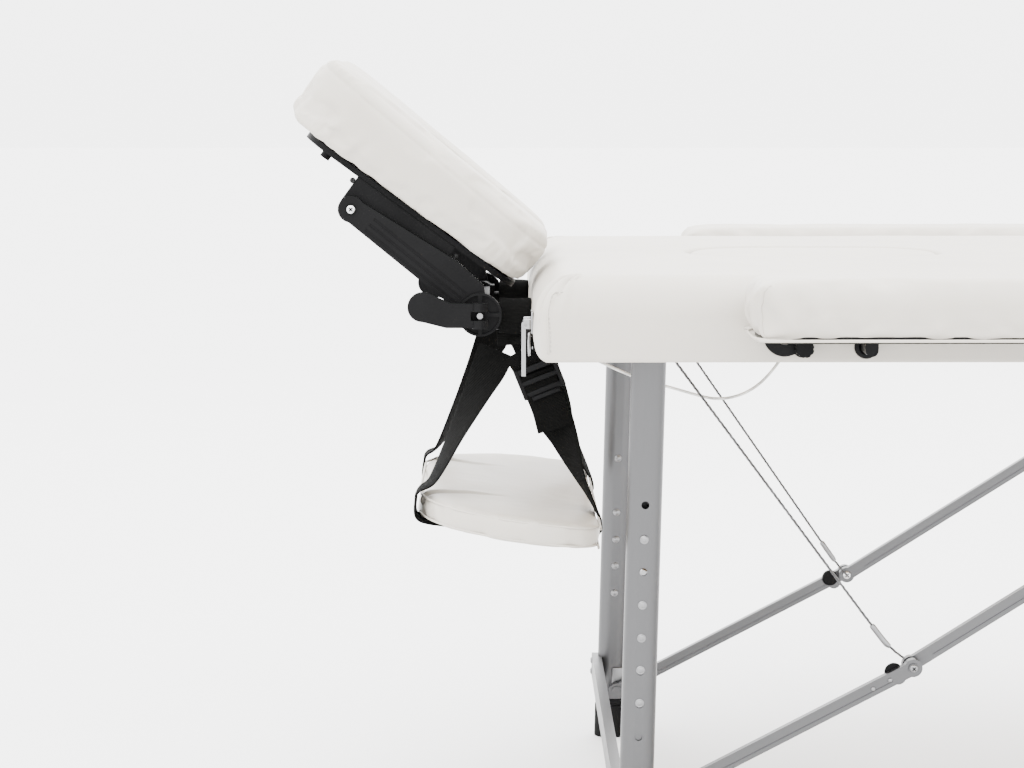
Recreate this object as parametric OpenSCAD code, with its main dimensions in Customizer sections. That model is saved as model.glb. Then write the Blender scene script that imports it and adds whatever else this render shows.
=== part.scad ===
// Portable massage table: a two-section folding top on telescopic aluminium legs, with a face
// cradle on two posts, a hanging arm sling, two side armrests and a lift-out face plug.
// X runs along the table from the head end (-X) to the foot end (+X), and Z is up from the floor.
// Each half is drawn from its own table end: u runs from that end towards the centre hinge.

/* [Table top] */
// Length of the open table
table_l = 1860; // [1840:10:1880]
// Width of the table top
table_w = 680; // [670:5:690]
// Height of the table top with the legs pushed in
table_h = 600; // [598:1:602]
// Thickness of the foam over the deck
foam_t = 38; // [34:1:38]
// Thickness of the plywood deck
deck_t = 4; // [3:0.5:4]
// Depth of the frame rails
rail_h = 38; // [36:1:40]
// Thickness of the frame rails
rail_t = 15; // [13:1:15]
// Thickness of the upholstery that wraps the rails
wrap_t = 3; // [2:0.5:3]
// Plan radius of the four outer corners
corner_r = 45; // [40:1:50]
// Radius of the rounded lower edge at each table end
end_r = 13; // [10:1:14]
// Radius of the rounded top edge of the cushion
edge_r = 32; // [20:1:32]

/* [Legs] */
// Distance from each table end to its leg pivots
leg_u = 112; // [110:1:114]
// Outward lean of the legs in degrees
splay = 1.3; // [1:0.1:1.6]
// Radius of the round sides of the oval leg tube
tube_r = 13; // [13:0.5:13.5]
// Length of the flat between the round sides
tube_flat = 8; // [8:0.5:9]
// Spacing of the height holes
hole_pitch = 33; // [32:0.5:33]
// Number of steps the legs extend
height_steps = 6; // [4:1:6]
// Distance across the legs at the head end
head_leg_y = 260; // [259:1:260]
// Distance across the legs at the foot end
foot_leg_y = 302; // [302:1:303]

/* [Braces] */
// Length of the lower brace link
low_l = 307; // [306.9:0.05:307.1]
// Length of the upper brace link
up_l = 622; // [621.9:0.05:622.1]
// Width of the brace links
link_w = 14; // [12:1:14]
// Thickness of the head brace links
link_t = 8; // [6:1:8]
// Thickness of the foot brace links, which pass between the two leg frames
foot_link_t = 4; // [3:0.5:4]

/* [Face cradle] */
// Tilt of the face cradle plate in degrees
cradle_tilt = 36.3; // [34:0.1:38]
// Length of the face cushion
cushion_l = 296; // [280:1:300]
// Width of the face cushion
cushion_w = 290; // [270:2:290]
// Thickness of the face cushion
cushion_t = 76; // [70:1:78]
// Distance from the centre to each support post
post_y = 115; // [114:1:116]
// Radius of the support posts
post_r = 10; // [9.5:0.5:10]

/* [Armrests and sling] */
// Length of a side armrest
arm_l = 500; // [480:5:510]
// Width of a side armrest
arm_w = 120; // [110:2:120]
// Distance from the head end to the armrests
arm_u = 195; // [190:1:200]
// Width of the sling webbing
web_w = 38; // [34:1:38]
// Length of the sling shelf
shelf_l = 185; // [175:1:190]
// Width of the sling shelf across the table
shelf_w = 436; // [420:4:440]

/* [Hidden] */
$fn = 48;

// halves of the table
hinge_x = 120;
half_l = table_l / 2;
head_x = hinge_x - half_l;
foot_x = hinge_x + half_l;
hinge_gap = 0.5;
hinge_ys = [-170, 0, 170];
side_y = table_w / 2;
frame_y = side_y - wrap_t;
rail_y = frame_y - rail_t;
deck_z = table_h - foam_t - deck_t;
pad_z = table_h - foam_t;
under_z = deck_z - rail_h;
hinge_z = under_z - 4;
inner_u = half_l - hinge_gap;
near = -1;
far = 1;

// leg pivots, and the linkage that folds each leg frame
pivot_z = under_z + 15;
bolt_r = 4;
fit = 0.05;
brace_along = 475;
brace_offset = 5;
link_u = leg_u + 790;
link_z = pivot_z + 3;
stay_u = leg_u + 14;
stay_z = deck_z - 13;
pin_r = 3;

// brace pivot on the leg, at rest
brace_u = leg_u - brace_along * sin(splay) + brace_offset * cos(splay);
brace_z = pivot_z - brace_along * cos(splay) - brace_offset * sin(splay);

// knee: where the two links meet, just below the straight line between their far pivots
span = norm([link_u - brace_u, link_z - brace_z]);
span_angle = atan2(link_z - brace_z, link_u - brace_u);
knee_angle = acos((low_l * low_l + span * span - up_l * up_l) / (2 * low_l * span));
low_angle = span_angle - knee_angle;
knee_u = brace_u + low_l * cos(low_angle);
knee_z = brace_z + low_l * sin(low_angle);
up_angle = atan2(knee_z - link_z, knee_u - link_u);
stay_angle = atan2(knee_z - stay_z, knee_u - stay_u);
stay_l = norm([knee_u - stay_u, knee_z - stay_z]);

// distances across the table for the two halves, which pass each other as the table folds:
// leg, lower link, upper link, stay and link thickness
HEAD = [head_leg_y, head_leg_y - 22, head_leg_y - 36, head_leg_y - 46, link_t];
FOOT = [foot_leg_y, foot_leg_y - 17.5, foot_leg_y - 22.5, foot_leg_y - 28, foot_link_t];

// telescopic legs, measured down the leg from its pivot
tube_end = pivot_z - 42;
tube_wall = 2.2;
inner_gap = 0.3;
inner_r = tube_r - tube_wall - inner_gap;
inner_wall = 1.8;
inner_top = 180;
button_down = 228;
hole_r = 3.9;
button_r = 3.75;
foot_h = 38;
foot_bar_z = -320;
foot_wall = 2;

// face cradle: plate frame with a along the plate from its upper lip and n up off the plate
lip_x = head_x - 228.2;
lip_z = 731;
plate_l = 262;
plate_t = 6;
cushion_a = -28;
cushion_n = 2;
cushion_taper = 3.6;
tilt_a = 82;
tilt_n = -36;
hub_x = head_x - 53;
hub_z = 547;
post_z = 539;
tilt_x = lip_x + tilt_a * cos(cradle_tilt) + tilt_n * sin(cradle_tilt);
tilt_z = lip_z - tilt_a * sin(cradle_tilt) + tilt_n * cos(cradle_tilt);
arm_angle = atan2(tilt_z - hub_z, tilt_x - hub_x);
arm_len = norm([tilt_x - hub_x, tilt_z - hub_z]);
rod_r = 5;
face_r = 60;
face_a = 148;
slot_half = 40;

// lift-out plug over the face opening in the table
plug_u = 303;
plug_r = 85;
plug_half = 50;
plug_gap = 1;

// armrests
arm_y = side_y + 5;
arm_board_z = 550;
arm_board_t = 6;
arm_top = 602;
arm_rod_r = 6;
arm_rod_z = 535;
arm_rods = [310, 590];
knob_u = 250;
knob_screw_r = 3;

// sling, hung from the posts
loop_x = head_x - 19;
shelf_t = 24;
shelf_tilt = 6;
shelf_x = head_x - 25;
shelf_z = 338;
shelf_inner_r = 35;
shelf_outer_r = 130;
loop_l = 34;
loop_r = post_r + 0.6;
strap_t = 2;
strap_top = 512;

// free loop of coated cord under the head end
cord_r = 1.5;
cord_sides = 8;
cord_y = -150;
cord_route = [
    [-788, 522], [-780, 519], [-771, 515], [-761, 510], [-750, 504], [-738, 498], [-725, 492],
    [-711, 486], [-697, 481], [-683, 477], [-669, 473], [-655, 469], [-641, 465], [-627, 462],
    [-613, 462], [-600, 465], [-589, 470], [-579, 477], [-570, 486], [-562, 496], [-555, 507],
    [-549, 519], [-544, 531], [-541, 542]
];

// colours
vinyl = [0.95, 0.94, 0.92];
black = [0.10, 0.10, 0.10];
metal = [0.72, 0.72, 0.73];
chrome = [0.85, 0.86, 0.88];
ply = [0.80, 0.66, 0.47];
rubber = [0.06, 0.06, 0.06];

// ---------- shared shapes ----------

// A half of the table, drawn from its own end towards the hinge
module head_half() {
    translate([head_x, 0, 0]) children();
}

module foot_half() {
    translate([foot_x, 0, 0]) mirror([1, 0, 0]) children();
}

module both_sides() {
    children();
    mirror([0, 1, 0]) children();
}

// A round bar along Y between two distances across the table
module bar_y(r, y0, y1) {
    translate([0, y0, 0]) rotate([-90, 0, 0]) cylinder(r = r, h = y1 - y0);
}

// A flat outline in X and Z, given its thickness along Y
module wall_y(y0, y1) {
    translate([0, y1, 0]) rotate([90, 0, 0]) linear_extrude(y1 - y0) children();
}

module box(low, high) {
    translate(low) cube(high - low);
}

// Plan of one half: square at the hinge and rounded at the table end
module half_plan(inset, r, u_end) {
    y = side_y - inset;
    union() {
        translate([inset + r, -y]) square([u_end - inset - r, 2 * y]);
        translate([inset, r - y]) square([u_end - inset, 2 * (y - r)]);
        for (side = [near, far]) translate([inset + r, side * (y - r)]) circle(r);
    }
}

// Oval with its flat along X
module oval(r, flat) {
    union() {
        square([flat, 2 * r], center = true);
        for (end = [-1, 1]) translate([end * flat / 2, 0]) circle(r);
    }
}

module stadium(r, half) {
    oval(r, 2 * half);
}

// A rounded rectangle from its corner
module round_rect(w, h, r) {
    union() {
        translate([r, 0]) square([w - 2 * r, h]);
        translate([0, r]) square([w, h - 2 * r]);
        for (x = [r, w - r]) for (y = [r, h - r]) translate([x, y]) circle(r);
    }
}

// ---------- table halves ----------

module side_rails() {
    for (side = [near, far])
        translate([corner_r, side > 0 ? rail_y : -frame_y, under_z])
            cube([inner_u - corner_r, rail_t, rail_h]);
}

// Side view of a half whose lower end edge is rounded, inset from its outer face
module end_profile(inset) {
    r = end_r - inset;
    union() {
        translate([inset, under_z + end_r]) square([half_l, table_h]);
        translate([end_r, under_z]) square([half_l, table_h]);
        translate([end_r, under_z + end_r]) circle(r);
    }
}

module end_rail() {
    intersection() {
        translate([0, 0, under_z]) linear_extrude(rail_h) intersection() {
            difference() {
                half_plan(wrap_t, corner_r - wrap_t, half_l);
                half_plan(wrap_t + rail_t, corner_r - wrap_t - rail_t, half_l);
            }
            translate([0, -side_y]) square([corner_r, table_w]);
        }
        wall_y(-side_y, side_y) end_profile(wrap_t);
    }
}

module hinge_rail() {
    box([inner_u - rail_t, -rail_y, under_z], [inner_u, rail_y, deck_z]);
}

module deck() {
    translate([0, 0, deck_z]) linear_extrude(deck_t)
        half_plan(wrap_t, corner_r - wrap_t, inner_u);
}

// Foam cushion: rounded in plan, and over its end and side edges
module pad() {
    y = side_y;
    intersection() {
        translate([0, 0, pad_z]) linear_extrude(foam_t) half_plan(0, corner_r, inner_u);
        wall_y(-y, y) union() {
            translate([0, pad_z]) square([inner_u, foam_t - edge_r]);
            translate([edge_r, pad_z]) square([inner_u - edge_r, foam_t]);
            translate([edge_r, table_h - edge_r]) circle(edge_r);
        }
        rotate([90, 0, 90]) linear_extrude(half_l) union() {
            translate([-y, pad_z]) square([2 * y, foam_t - edge_r]);
            translate([edge_r - y, pad_z]) square([2 * (y - edge_r), foam_t]);
            for (side = [near, far])
                translate([side * (y - edge_r), table_h - edge_r]) circle(edge_r);
        }
    }
}

module side_cover() {
    intersection() {
        translate([0, 0, under_z]) linear_extrude(pad_z - under_z) difference() {
            half_plan(0, corner_r, inner_u);
            half_plan(wrap_t, corner_r - wrap_t, half_l);
        }
        wall_y(-side_y, side_y) end_profile(0);
    }
}

// U bracket, open downwards, with its pivot bolt and two screws up into the deck
module u_bracket(u, z, y, gap, w, drop, r) {
    plate = 3;
    reach = gap / 2 + plate;
    both_sides() translate([u, y, 0]) {
        difference() {
            union() {
                box([-w / 2, -reach, deck_z - plate], [w / 2, reach, deck_z]);
                for (s = [-1, 1]) translate([0, s * (reach - plate / 2), 0]) {
                    box([-w / 2, -plate / 2, z], [w / 2, plate / 2, deck_z - plate]);
                    translate([0, 0, z]) bar_y(drop, -plate / 2, plate / 2);
                }
            }
            translate([0, 0, z]) bar_y(r, -reach - 1, reach + 1);
        }
        translate([0, 0, z]) {
            bar_y(r, -reach, reach);
            bar_y(r * 1.7, -reach - 2, -reach);
            bar_y(r * 1.7, reach, reach + 2);
        }
    }
}

module leg_brackets(y) {
    u_bracket(leg_u, pivot_z, y, 2 * tube_r + 1, 42, 13, bolt_r);
}

module stay_hooks(y) {
    both_sides() translate([stay_u, y, 0]) {
        box([-8, -7, deck_z - 3], [8, 7, deck_z]);
        for (s = [-1, 1]) translate([0, s * 4.5, 0]) difference() {
            box([-5, -1, stay_z - 5], [5, 1, deck_z - 3]);
            translate([0, 0, stay_z]) bar_y(2, -2, 2);
        }
        translate([0, 0, stay_z]) bar_y(2, -5.5, 5.5);
    }
}

module link_brackets(y) {
    u_bracket(link_u, link_z, y[2], y[4] + 1, 20, 8, pin_r);
}

// Hinge leaves: flat straps under the rails, with knuckles about the hinge line
module hinge_leaves(knuckles) {
    leaf_t = 2;
    leaf_l = 70;
    knuckle_r = 3.4;
    knuckle_w = 12;
    for (y = hinge_ys) translate([half_l, y, 0]) {
        difference() {
            union() {
                box([-leaf_l, -30, under_z - leaf_t], [-4.2, 30, under_z]);
                for (k = knuckles) translate([0, k * knuckle_w, hinge_z]) {
                    bar_y(knuckle_r, -knuckle_w / 2 + 0.2, knuckle_w / 2 - 0.2);
                    translate([-5, -knuckle_w / 2 + 0.2, 0.4])
                        cube([5, knuckle_w - 0.4, 2.6]);
                }
            }
            translate([0, 0, hinge_z]) bar_y(1.5 + fit, -40, 40);
        }
    }
    for (y = hinge_ys) for (s = [-18, 18]) for (u = [25, 55])
        translate([half_l - u, y + s, under_z - leaf_t - 1.2]) cylinder(r = 4, h = 1.2);
}

module head_side_rails() {
    color(ply) head_half() difference() {
        side_rails();
        both_sides() {
            for (u = arm_rods)
                translate([u, 0, arm_rod_z]) bar_y(arm_rod_r + 2, rail_y - 1, frame_y + 1);
            translate([knob_u, 0, arm_rod_z])
                bar_y(knob_screw_r + fit, rail_y - 1, frame_y + 1);
        }
    }
}

module head_cross_rails() {
    color(ply) head_half() difference() {
        union() {
            end_rail();
            hinge_rail();
        }
        for (side = [near, far]) translate([0, side * post_y, post_z])
            rotate([0, 90, 0]) cylinder(r = post_r + 3, h = 30);
    }
}

module plug_hole(r, z0, z1) {
    translate([plug_u, 0, z0]) linear_extrude(z1 - z0) stadium(r, plug_half);
}

module head_deck() {
    color(ply) head_half() difference() {
        deck();
        plug_hole(plug_r, deck_z - 1, pad_z + 1);
    }
}

module head_pad() {
    color(vinyl) head_half() difference() {
        pad();
        plug_hole(plug_r, pad_z - 1, table_h + 1);
    }
}

module head_side_cover() {
    color(vinyl) head_half() difference() {
        side_cover();
        for (side = [near, far]) translate([-1, side * post_y, post_z])
            rotate([0, 90, 0]) cylinder(r = post_r + 3, h = 10);
        both_sides() {
            for (u = arm_rods)
                translate([u, 0, arm_rod_z]) bar_y(arm_rod_r + 2, frame_y - 1, side_y + 1);
            translate([knob_u, 0, arm_rod_z])
                bar_y(knob_screw_r + 0.5, frame_y - 1, side_y + 1);
        }
    }
}

// Tubes in the rails: two for the cradle posts, and two in each side for the armrests
module accessory_sockets() {
    post_socket_l = 82;
    color(metal) head_half() {
        for (side = [near, far]) translate([0.4, side * post_y, post_z]) rotate([0, 90, 0])
            difference() {
                cylinder(r = post_r + 3, h = post_socket_l);
                translate([0, 0, -1]) cylinder(r = post_r + fit, h = post_socket_l + 2);
            }
        both_sides() for (u = arm_rods) translate([u, 0, arm_rod_z]) difference() {
            bar_y(arm_rod_r + 2, rail_y - 14, side_y - 0.4);
            bar_y(arm_rod_r + fit, rail_y - 15, side_y + 1);
        }
    }
}

module head_leg_brackets() {
    color(black) head_half() {
        leg_brackets(HEAD[0]);
        stay_hooks(HEAD[3]);
    }
}

module head_link_brackets() {
    color(black) head_half() link_brackets(HEAD);
}

// Head leaves carry the pins
module head_hinge_leaves() {
    color(metal) head_half() {
        hinge_leaves([-2, 0, 2]);
        for (y = hinge_ys) translate([half_l, y, hinge_z]) bar_y(1.5, -30, 30);
    }
}

// ---------- loop cord ----------

function cord_point(k) = [cord_route[k][0], cord_y, cord_route[k][1]];

function cord_way(k) = let(
    last = len(cord_route) - 1,
    a = cord_point(max(k - 1, 0)),
    b = cord_point(min(k + 1, last))
) (b - a) / norm(b - a);

function cord_ring(k) = let(w = cord_way(k), side = [0, 1, 0], up = cross(w, side))
    [for (i = [0 : cord_sides - 1]) let(t = 360 * i / cord_sides)
        cord_point(k) + cord_r * (cos(t) * side + sin(t) * up)];

module loop_cord() {
    rings = len(cord_route);
    points = [for (k = [0 : rings - 1]) each cord_ring(k)];
    sides = [for (k = [0 : rings - 2]) for (i = [0 : cord_sides - 1])
        let(j = (i + 1) % cord_sides, a = k * cord_sides, b = a + cord_sides)
            [a + j, a + i, b + i, b + j]];
    first = [[for (i = [0 : cord_sides - 1]) i]];
    last = [[for (i = [cord_sides - 1 : -1 : 0]) (rings - 1) * cord_sides + i]];
    color([0.75, 0.75, 0.74]) polyhedron(points, concat(sides, first, last));
}

// One clip on the end rail and one under the deck
module cord_clips() {
    start = cord_point(0);
    end = cord_point(len(cord_route) - 1);
    color(black) {
        box([start[0] - 4, cord_y - 6, start[2] - 4], [start[0], cord_y + 6, start[2] + 12]);
        box([end[0] - 6, cord_y - 6, end[2] + 1.5], [end[0] + 7, cord_y + 6, deck_z]);
    }
}

module face_plug() {
    r = plug_r - plug_gap;
    color(vinyl) head_half() {
        plug_hole(r, deck_z + 0.5, table_h - 5);
        plug_hole(r - 5, table_h - 5, table_h);
    }
}

module foot_side_rails() {
    color(ply) foot_half() side_rails();
}

module foot_cross_rails() {
    color(ply) foot_half() {
        end_rail();
        hinge_rail();
    }
}

module foot_deck() {
    color(ply) foot_half() deck();
}

module foot_pad() {
    color(vinyl) foot_half() pad();
}

module foot_side_cover() {
    color(vinyl) foot_half() side_cover();
}

module foot_leg_brackets() {
    color(black) foot_half() {
        leg_brackets(FOOT[0]);
        stay_hooks(FOOT[3]);
    }
}

module foot_link_brackets() {
    color(black) foot_half() link_brackets(FOOT);
}

module foot_hinge_leaves() {
    color(metal) foot_half() hinge_leaves([-1, 1]);
}

// Webbing handle on the far side of the foot half
module carry_handle() {
    grip_u = half_l / 2;
    color(black) foot_half() translate([grip_u, side_y, under_z + 20]) {
        for (end = [-1, 1]) {
            box([end * 75 - 16, 0, -14], [end * 75 + 16, 3, 14]);
            translate([end * 75, 3, 0]) bar_y(5, 0, 2);
            box([end * 66 - 5, 3, -10], [end * 66 + 5, 26, 10]);
        }
        box([-71, 26, -12], [71, 33, 12]);
    }
}

// ---------- legs ----------

// Leg frame: origin at the pivot, Z up the leg and X towards the centre of the table
module leg_frame() {
    translate([leg_u, 0, pivot_z]) rotate([0, splay, 0]) children();
}

module leg_tubes(y) {
    solid_top = 30;
    leg_frame() both_sides() translate([0, y, 0]) difference() {
        union() {
            translate([0, 0, -tube_end]) linear_extrude(tube_end) oval(tube_r, tube_flat);
            bar_y(tube_r + tube_flat / 2, -tube_r, tube_r);
        }
        translate([0, 0, -tube_end - 1]) linear_extrude(tube_end - solid_top)
            oval(tube_r - tube_wall, tube_flat);
        bar_y(bolt_r + fit, -tube_r - 1, tube_r + 1);
        for (k = [-2 : height_steps]) translate([0, 0, -button_down - k * hole_pitch])
            bar_y(hole_r, 0, tube_r + 1);
    }
}

module brace_studs(y) {
    inner = y[1] - y[4] / 2;
    leg_frame() both_sides() translate([brace_offset, 0, -brace_along]) {
        bar_y(pin_r, inner, y[0] - tube_r);
        bar_y(7, y[1] + y[4] / 2 + 0.3, y[0] - tube_r);
        if (y[4] == link_t) {
            bar_y(pin_r, inner - 0.5, inner + 1);
            bar_y(5.5, inner - 1.8, inner - 0.3);
        }
    }
}

module head_leg_tubes() {
    color(metal) head_half() leg_tubes(HEAD[0]);
}

// Flat bar across the outer faces of the legs, notched over the tubes
module head_crossbar() {
    color(metal) head_half() {
        leg_frame() difference() {
            box([-24, -head_leg_y - 13, -464], [-13, head_leg_y + 13, -438]);
            both_sides() translate([0, head_leg_y, -470]) linear_extrude(40)
                oval(tube_r, tube_flat);
        }
        brace_studs(HEAD);
    }
}

module foot_leg_tubes() {
    color(metal) foot_half() leg_tubes(FOOT[0]);
}

// Thin flat bar across the outer faces of the legs
module foot_crossbar() {
    color(metal) foot_half() {
        leg_frame() difference() {
            box([-18, -foot_leg_y - 13, foot_bar_z - 24], [-13, foot_leg_y + 13, foot_bar_z]);
            both_sides() translate([0, foot_leg_y, foot_bar_z - 30]) linear_extrude(40)
                oval(tube_r, tube_flat);
        }
        brace_studs(FOOT);
    }
}

module inner_leg(y) {
    leg_frame() translate([0, y, 0]) difference() {
        translate([0, 0, -pivot_z + 5]) linear_extrude(pivot_z - 5 - inner_top)
            oval(inner_r, tube_flat);
        translate([0, 0, -pivot_z + 4]) linear_extrude(pivot_z)
            oval(inner_r - inner_wall, tube_flat);
        translate([0, 0, -button_down])
            bar_y(button_r + fit, y > 0 ? 0 : -tube_r, y > 0 ? tube_r : 0);
    }
}

module rubber_foot(y) {
    difference() {
        leg_frame() translate([0, y, 0]) difference() {
            translate([0, 0, -pivot_z - 3]) linear_extrude(foot_h + 3)
                oval(tube_r + foot_wall, tube_flat);
            translate([0, 0, -pivot_z + 5]) linear_extrude(foot_h)
                oval(inner_r, tube_flat);
        }
        box([-100, -table_w, -20], [leg_u + 100, table_w, 0]);
    }
}

// Spring button, held by a flange inside the inner leg
module leg_button(y) {
    leg_frame() translate([0, y, -button_down]) rotate([0, 0, y > 0 ? 0 : 180]) {
        bar_y(button_r, 8.4, 14.2);
        translate([0, 14.2, 0]) rotate([-90, 0, 0])
            cylinder(r1 = button_r, r2 = button_r - 1.4, h = 1.4);
        bar_y(5.5, 3.2, 8.4);
    }
}

module inner_leg_head_near() {
    color(metal) head_half() inner_leg(-HEAD[0]);
}

module inner_leg_head_far() {
    color(metal) head_half() inner_leg(HEAD[0]);
}

module inner_leg_foot_near() {
    color(metal) foot_half() inner_leg(-FOOT[0]);
}

module inner_leg_foot_far() {
    color(metal) foot_half() inner_leg(FOOT[0]);
}

module rubber_foot_head_near() {
    color(rubber) head_half() rubber_foot(-HEAD[0]);
}

module rubber_foot_head_far() {
    color(rubber) head_half() rubber_foot(HEAD[0]);
}

module rubber_foot_foot_near() {
    color(rubber) foot_half() rubber_foot(-FOOT[0]);
}

module rubber_foot_foot_far() {
    color(rubber) foot_half() rubber_foot(FOOT[0]);
}

module button_head_near() {
    color(chrome) head_half() leg_button(-HEAD[0]);
}

module button_head_far() {
    color(chrome) head_half() leg_button(HEAD[0]);
}

module button_foot_near() {
    color(chrome) foot_half() leg_button(-FOOT[0]);
}

module button_foot_far() {
    color(chrome) foot_half() leg_button(FOOT[0]);
}

// ---------- folding braces ----------

// Flat grooved link along X from the origin, bored at its first pivot
module link_bar(length, y, t, knee_r) {
    groove_w = 5;
    groove_d = 1;
    y0 = y - t / 2;
    y1 = y + t / 2;
    difference() {
        union() {
            box([0, y0, -link_w / 2], [length, y1, link_w / 2]);
            bar_y(8.5, y0, y1);
            translate([length, 0, 0]) bar_y(knee_r, y0, y1);
        }
        bar_y(pin_r + fit, y0 - 1, y1 + 1);
        for (side = [y0 - 1, y1 - groove_d])
            box([18, side, -groove_w / 2], [length - 24, side + 1 + groove_d, groove_w / 2]);
    }
}

module lower_links(y) {
    inner = y[1] - y[4] / 2;
    translate([brace_u, 0, brace_z]) rotate([0, -low_angle, 0]) both_sides() {
        link_bar(low_l, y[1], y[4], 9);
        translate([low_l, 0, 0]) bar_y(5, y[1] + y[4] / 2, y[1] + y[4] / 2 + 1.6);
        if (y[4] == link_t) {
            translate([low_l, 0, 0]) bar_y(6, inner - 2.6, inner);
            translate([low_l - 17, 0, -3]) bar_y(8, inner - 3.2, inner);
        }
    }
}

module upper_links(y) {
    outer = y[2] + y[4] / 2;
    translate([link_u, 0, link_z]) rotate([0, -up_angle, 0]) both_sides() {
        link_bar(up_l, y[2], y[4], 9);
        if (y[4] == link_t) translate([up_l, 0, 0]) bar_y(6, outer, outer + 2.6);
        translate([up_l, 0, 0]) bar_y(4.5, y[2] - y[4] / 2 - 0.7, y[2] - y[4] / 2);
    }
}

module stays(y) {
    wire_r = 1.3;
    translate([stay_u, 0, stay_z]) rotate([0, -stay_angle, 0]) both_sides()
        translate([0, y[3], 0]) {
            difference() {
                bar_y(4.5, -3, 3);
                bar_y(2 + fit, -4, 4);
            }
            translate([4.2, 0, 0]) rotate([0, 90, 0]) cylinder(r = 2.4, h = 16);
            translate([20, 0, 0]) rotate([0, 90, 0]) cylinder(r = wire_r, h = stay_l - 48);
            translate([stay_l - 28, 0, 0]) rotate([0, 90, 0]) cylinder(r = 2.6, h = 22);
            box([stay_l - 8, -1.5, -5], [stay_l + 4, 1.5, 5]);
        }
}

module head_lower_links() {
    color(metal) head_half() lower_links(HEAD);
}

module head_upper_links() {
    color(metal) head_half() upper_links(HEAD);
}

module foot_lower_links() {
    color(metal) foot_half() lower_links(FOOT);
}

module foot_upper_links() {
    color(metal) foot_half() upper_links(FOOT);
}

module head_stays() {
    color(metal) head_half() stays(HEAD);
}

module foot_stays() {
    color(metal) foot_half() stays(FOOT);
}

// ---------- face cradle ----------

yoke_y = [post_y - 10, post_y + 10];
arm_bar_y = [129, 139];
cup_y = [139.4, 149];
lever_pin_y = 159;

// Posts, the yokes on their ends, the rail that joins them and the hub rod with its cups
module headrest_base() {
    post_end = head_x + 72;
    color(black) {
        for (side = [near, far]) translate([hub_x + 14, side * post_y, post_z])
            rotate([0, 90, 0]) cylinder(r = post_r, h = post_end - hub_x - 14);
        both_sides() translate([hub_x, 0, hub_z]) {
            difference() {
                union() {
                    bar_y(14, yoke_y[0], yoke_y[1]);
                    box([0, yoke_y[0], -12], [14, yoke_y[1], 10]);
                }
                bar_y(rod_r, yoke_y[0] - 1, yoke_y[1] + 1);
            }
            difference() {
                bar_y(22, cup_y[0], cup_y[1]);
                bar_y(rod_r, cup_y[0] - 1, cup_y[1] + 1);
                difference() {
                    bar_y(20, cup_y[1] - 4, cup_y[1] + 1);
                    bar_y(9, cup_y[1] - 5, cup_y[1] + 2);
                    for (turn = [0, 90]) rotate([0, turn, 0])
                        box([-21, cup_y[1] - 5, -2], [21, cup_y[1] + 2, 2]);
                }
            }
        }
        translate([hub_x, 0, hub_z]) {
            bar_y(rod_r, -cup_y[1], cup_y[1]);
            difference() {
                box([-9, -yoke_y[0], -9], [9, yoke_y[0], 9]);
                bar_y(rod_r, -yoke_y[0] - 1, yoke_y[0] + 1);
            }
        }
        // eye on each rod end that holds the cam lever's pin
        both_sides() translate([hub_x, 0, hub_z]) {
            bar_y(3.5, cup_y[1], lever_pin_y);
            translate([0, lever_pin_y, -10]) cylinder(r = 2.5, h = 20);
        }
    }
}

module headrest_arms() {
    color(black) translate([hub_x, 0, hub_z]) rotate([0, -arm_angle, 0]) {
        both_sides() difference() {
            union() {
                wall_y(arm_bar_y[0], arm_bar_y[1]) polygon([
                    [0, 12], [arm_len, 12], [arm_len, -12], [52, -27], [16, -25], [0, -12]
                ]);
                bar_y(14, arm_bar_y[0], arm_bar_y[1]);
                translate([arm_len, 0, 0]) bar_y(13.5, arm_bar_y[0], arm_bar_y[1]);
            }
            bar_y(rod_r + fit, arm_bar_y[0] - 1, arm_bar_y[1] + 1);
            for (rib = [-7, 0, 7])
                box([24, arm_bar_y[1] - 1, rib - 1.5], [arm_len - 24, arm_bar_y[1] + 1, rib + 1.5]);
        }
        translate([arm_len, 0, 0]) {
            bar_y(4, -arm_bar_y[0], arm_bar_y[0]);
            both_sides() bar_y(5, arm_bar_y[1], arm_bar_y[1] + 2.5);
        }
    }
}

// Cradle frame: X along the plate from its upper lip and Z up off the plate
module cradle_frame() {
    translate([lip_x, 0, lip_z]) rotate([0, cradle_tilt, 0]) children();
}

// Horseshoe open towards the table
module horseshoe(a, length, half_w, r, hole_r, slot) {
    difference() {
        translate([a, -half_w]) round_rect(length, 2 * half_w, r);
        translate([face_a, 0]) circle(hole_r);
        translate([face_a, -slot]) square([length, 2 * slot]);
    }
}

module cradle_plate() {
    bracket_y = [116, 127];
    wall = 4;
    color(black) cradle_frame() {
        translate([0, 0, -plate_t]) linear_extrude(plate_t)
            horseshoe(0, plate_l, 125, 40, face_r + 8, slot_half + 8);
        both_sides() difference() {
            union() {
                box([68, bracket_y[1] - wall, tilt_n], [108, bracket_y[1], -plate_t]);
                translate([tilt_a, 0, tilt_n]) bar_y(11, bracket_y[1] - wall, bracket_y[1]);
                box([108, bracket_y[1] - wall, -26], [190, bracket_y[1], -plate_t]);
            }
            translate([tilt_a, 0, tilt_n]) bar_y(4 + fit, bracket_y[1] - wall - 1, 130);
        }
        // peg at the lip that the cover hooks over
        translate([24, 0, -plate_t - 13]) cylinder(r = 5.5, h = 13);
    }
}

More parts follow.
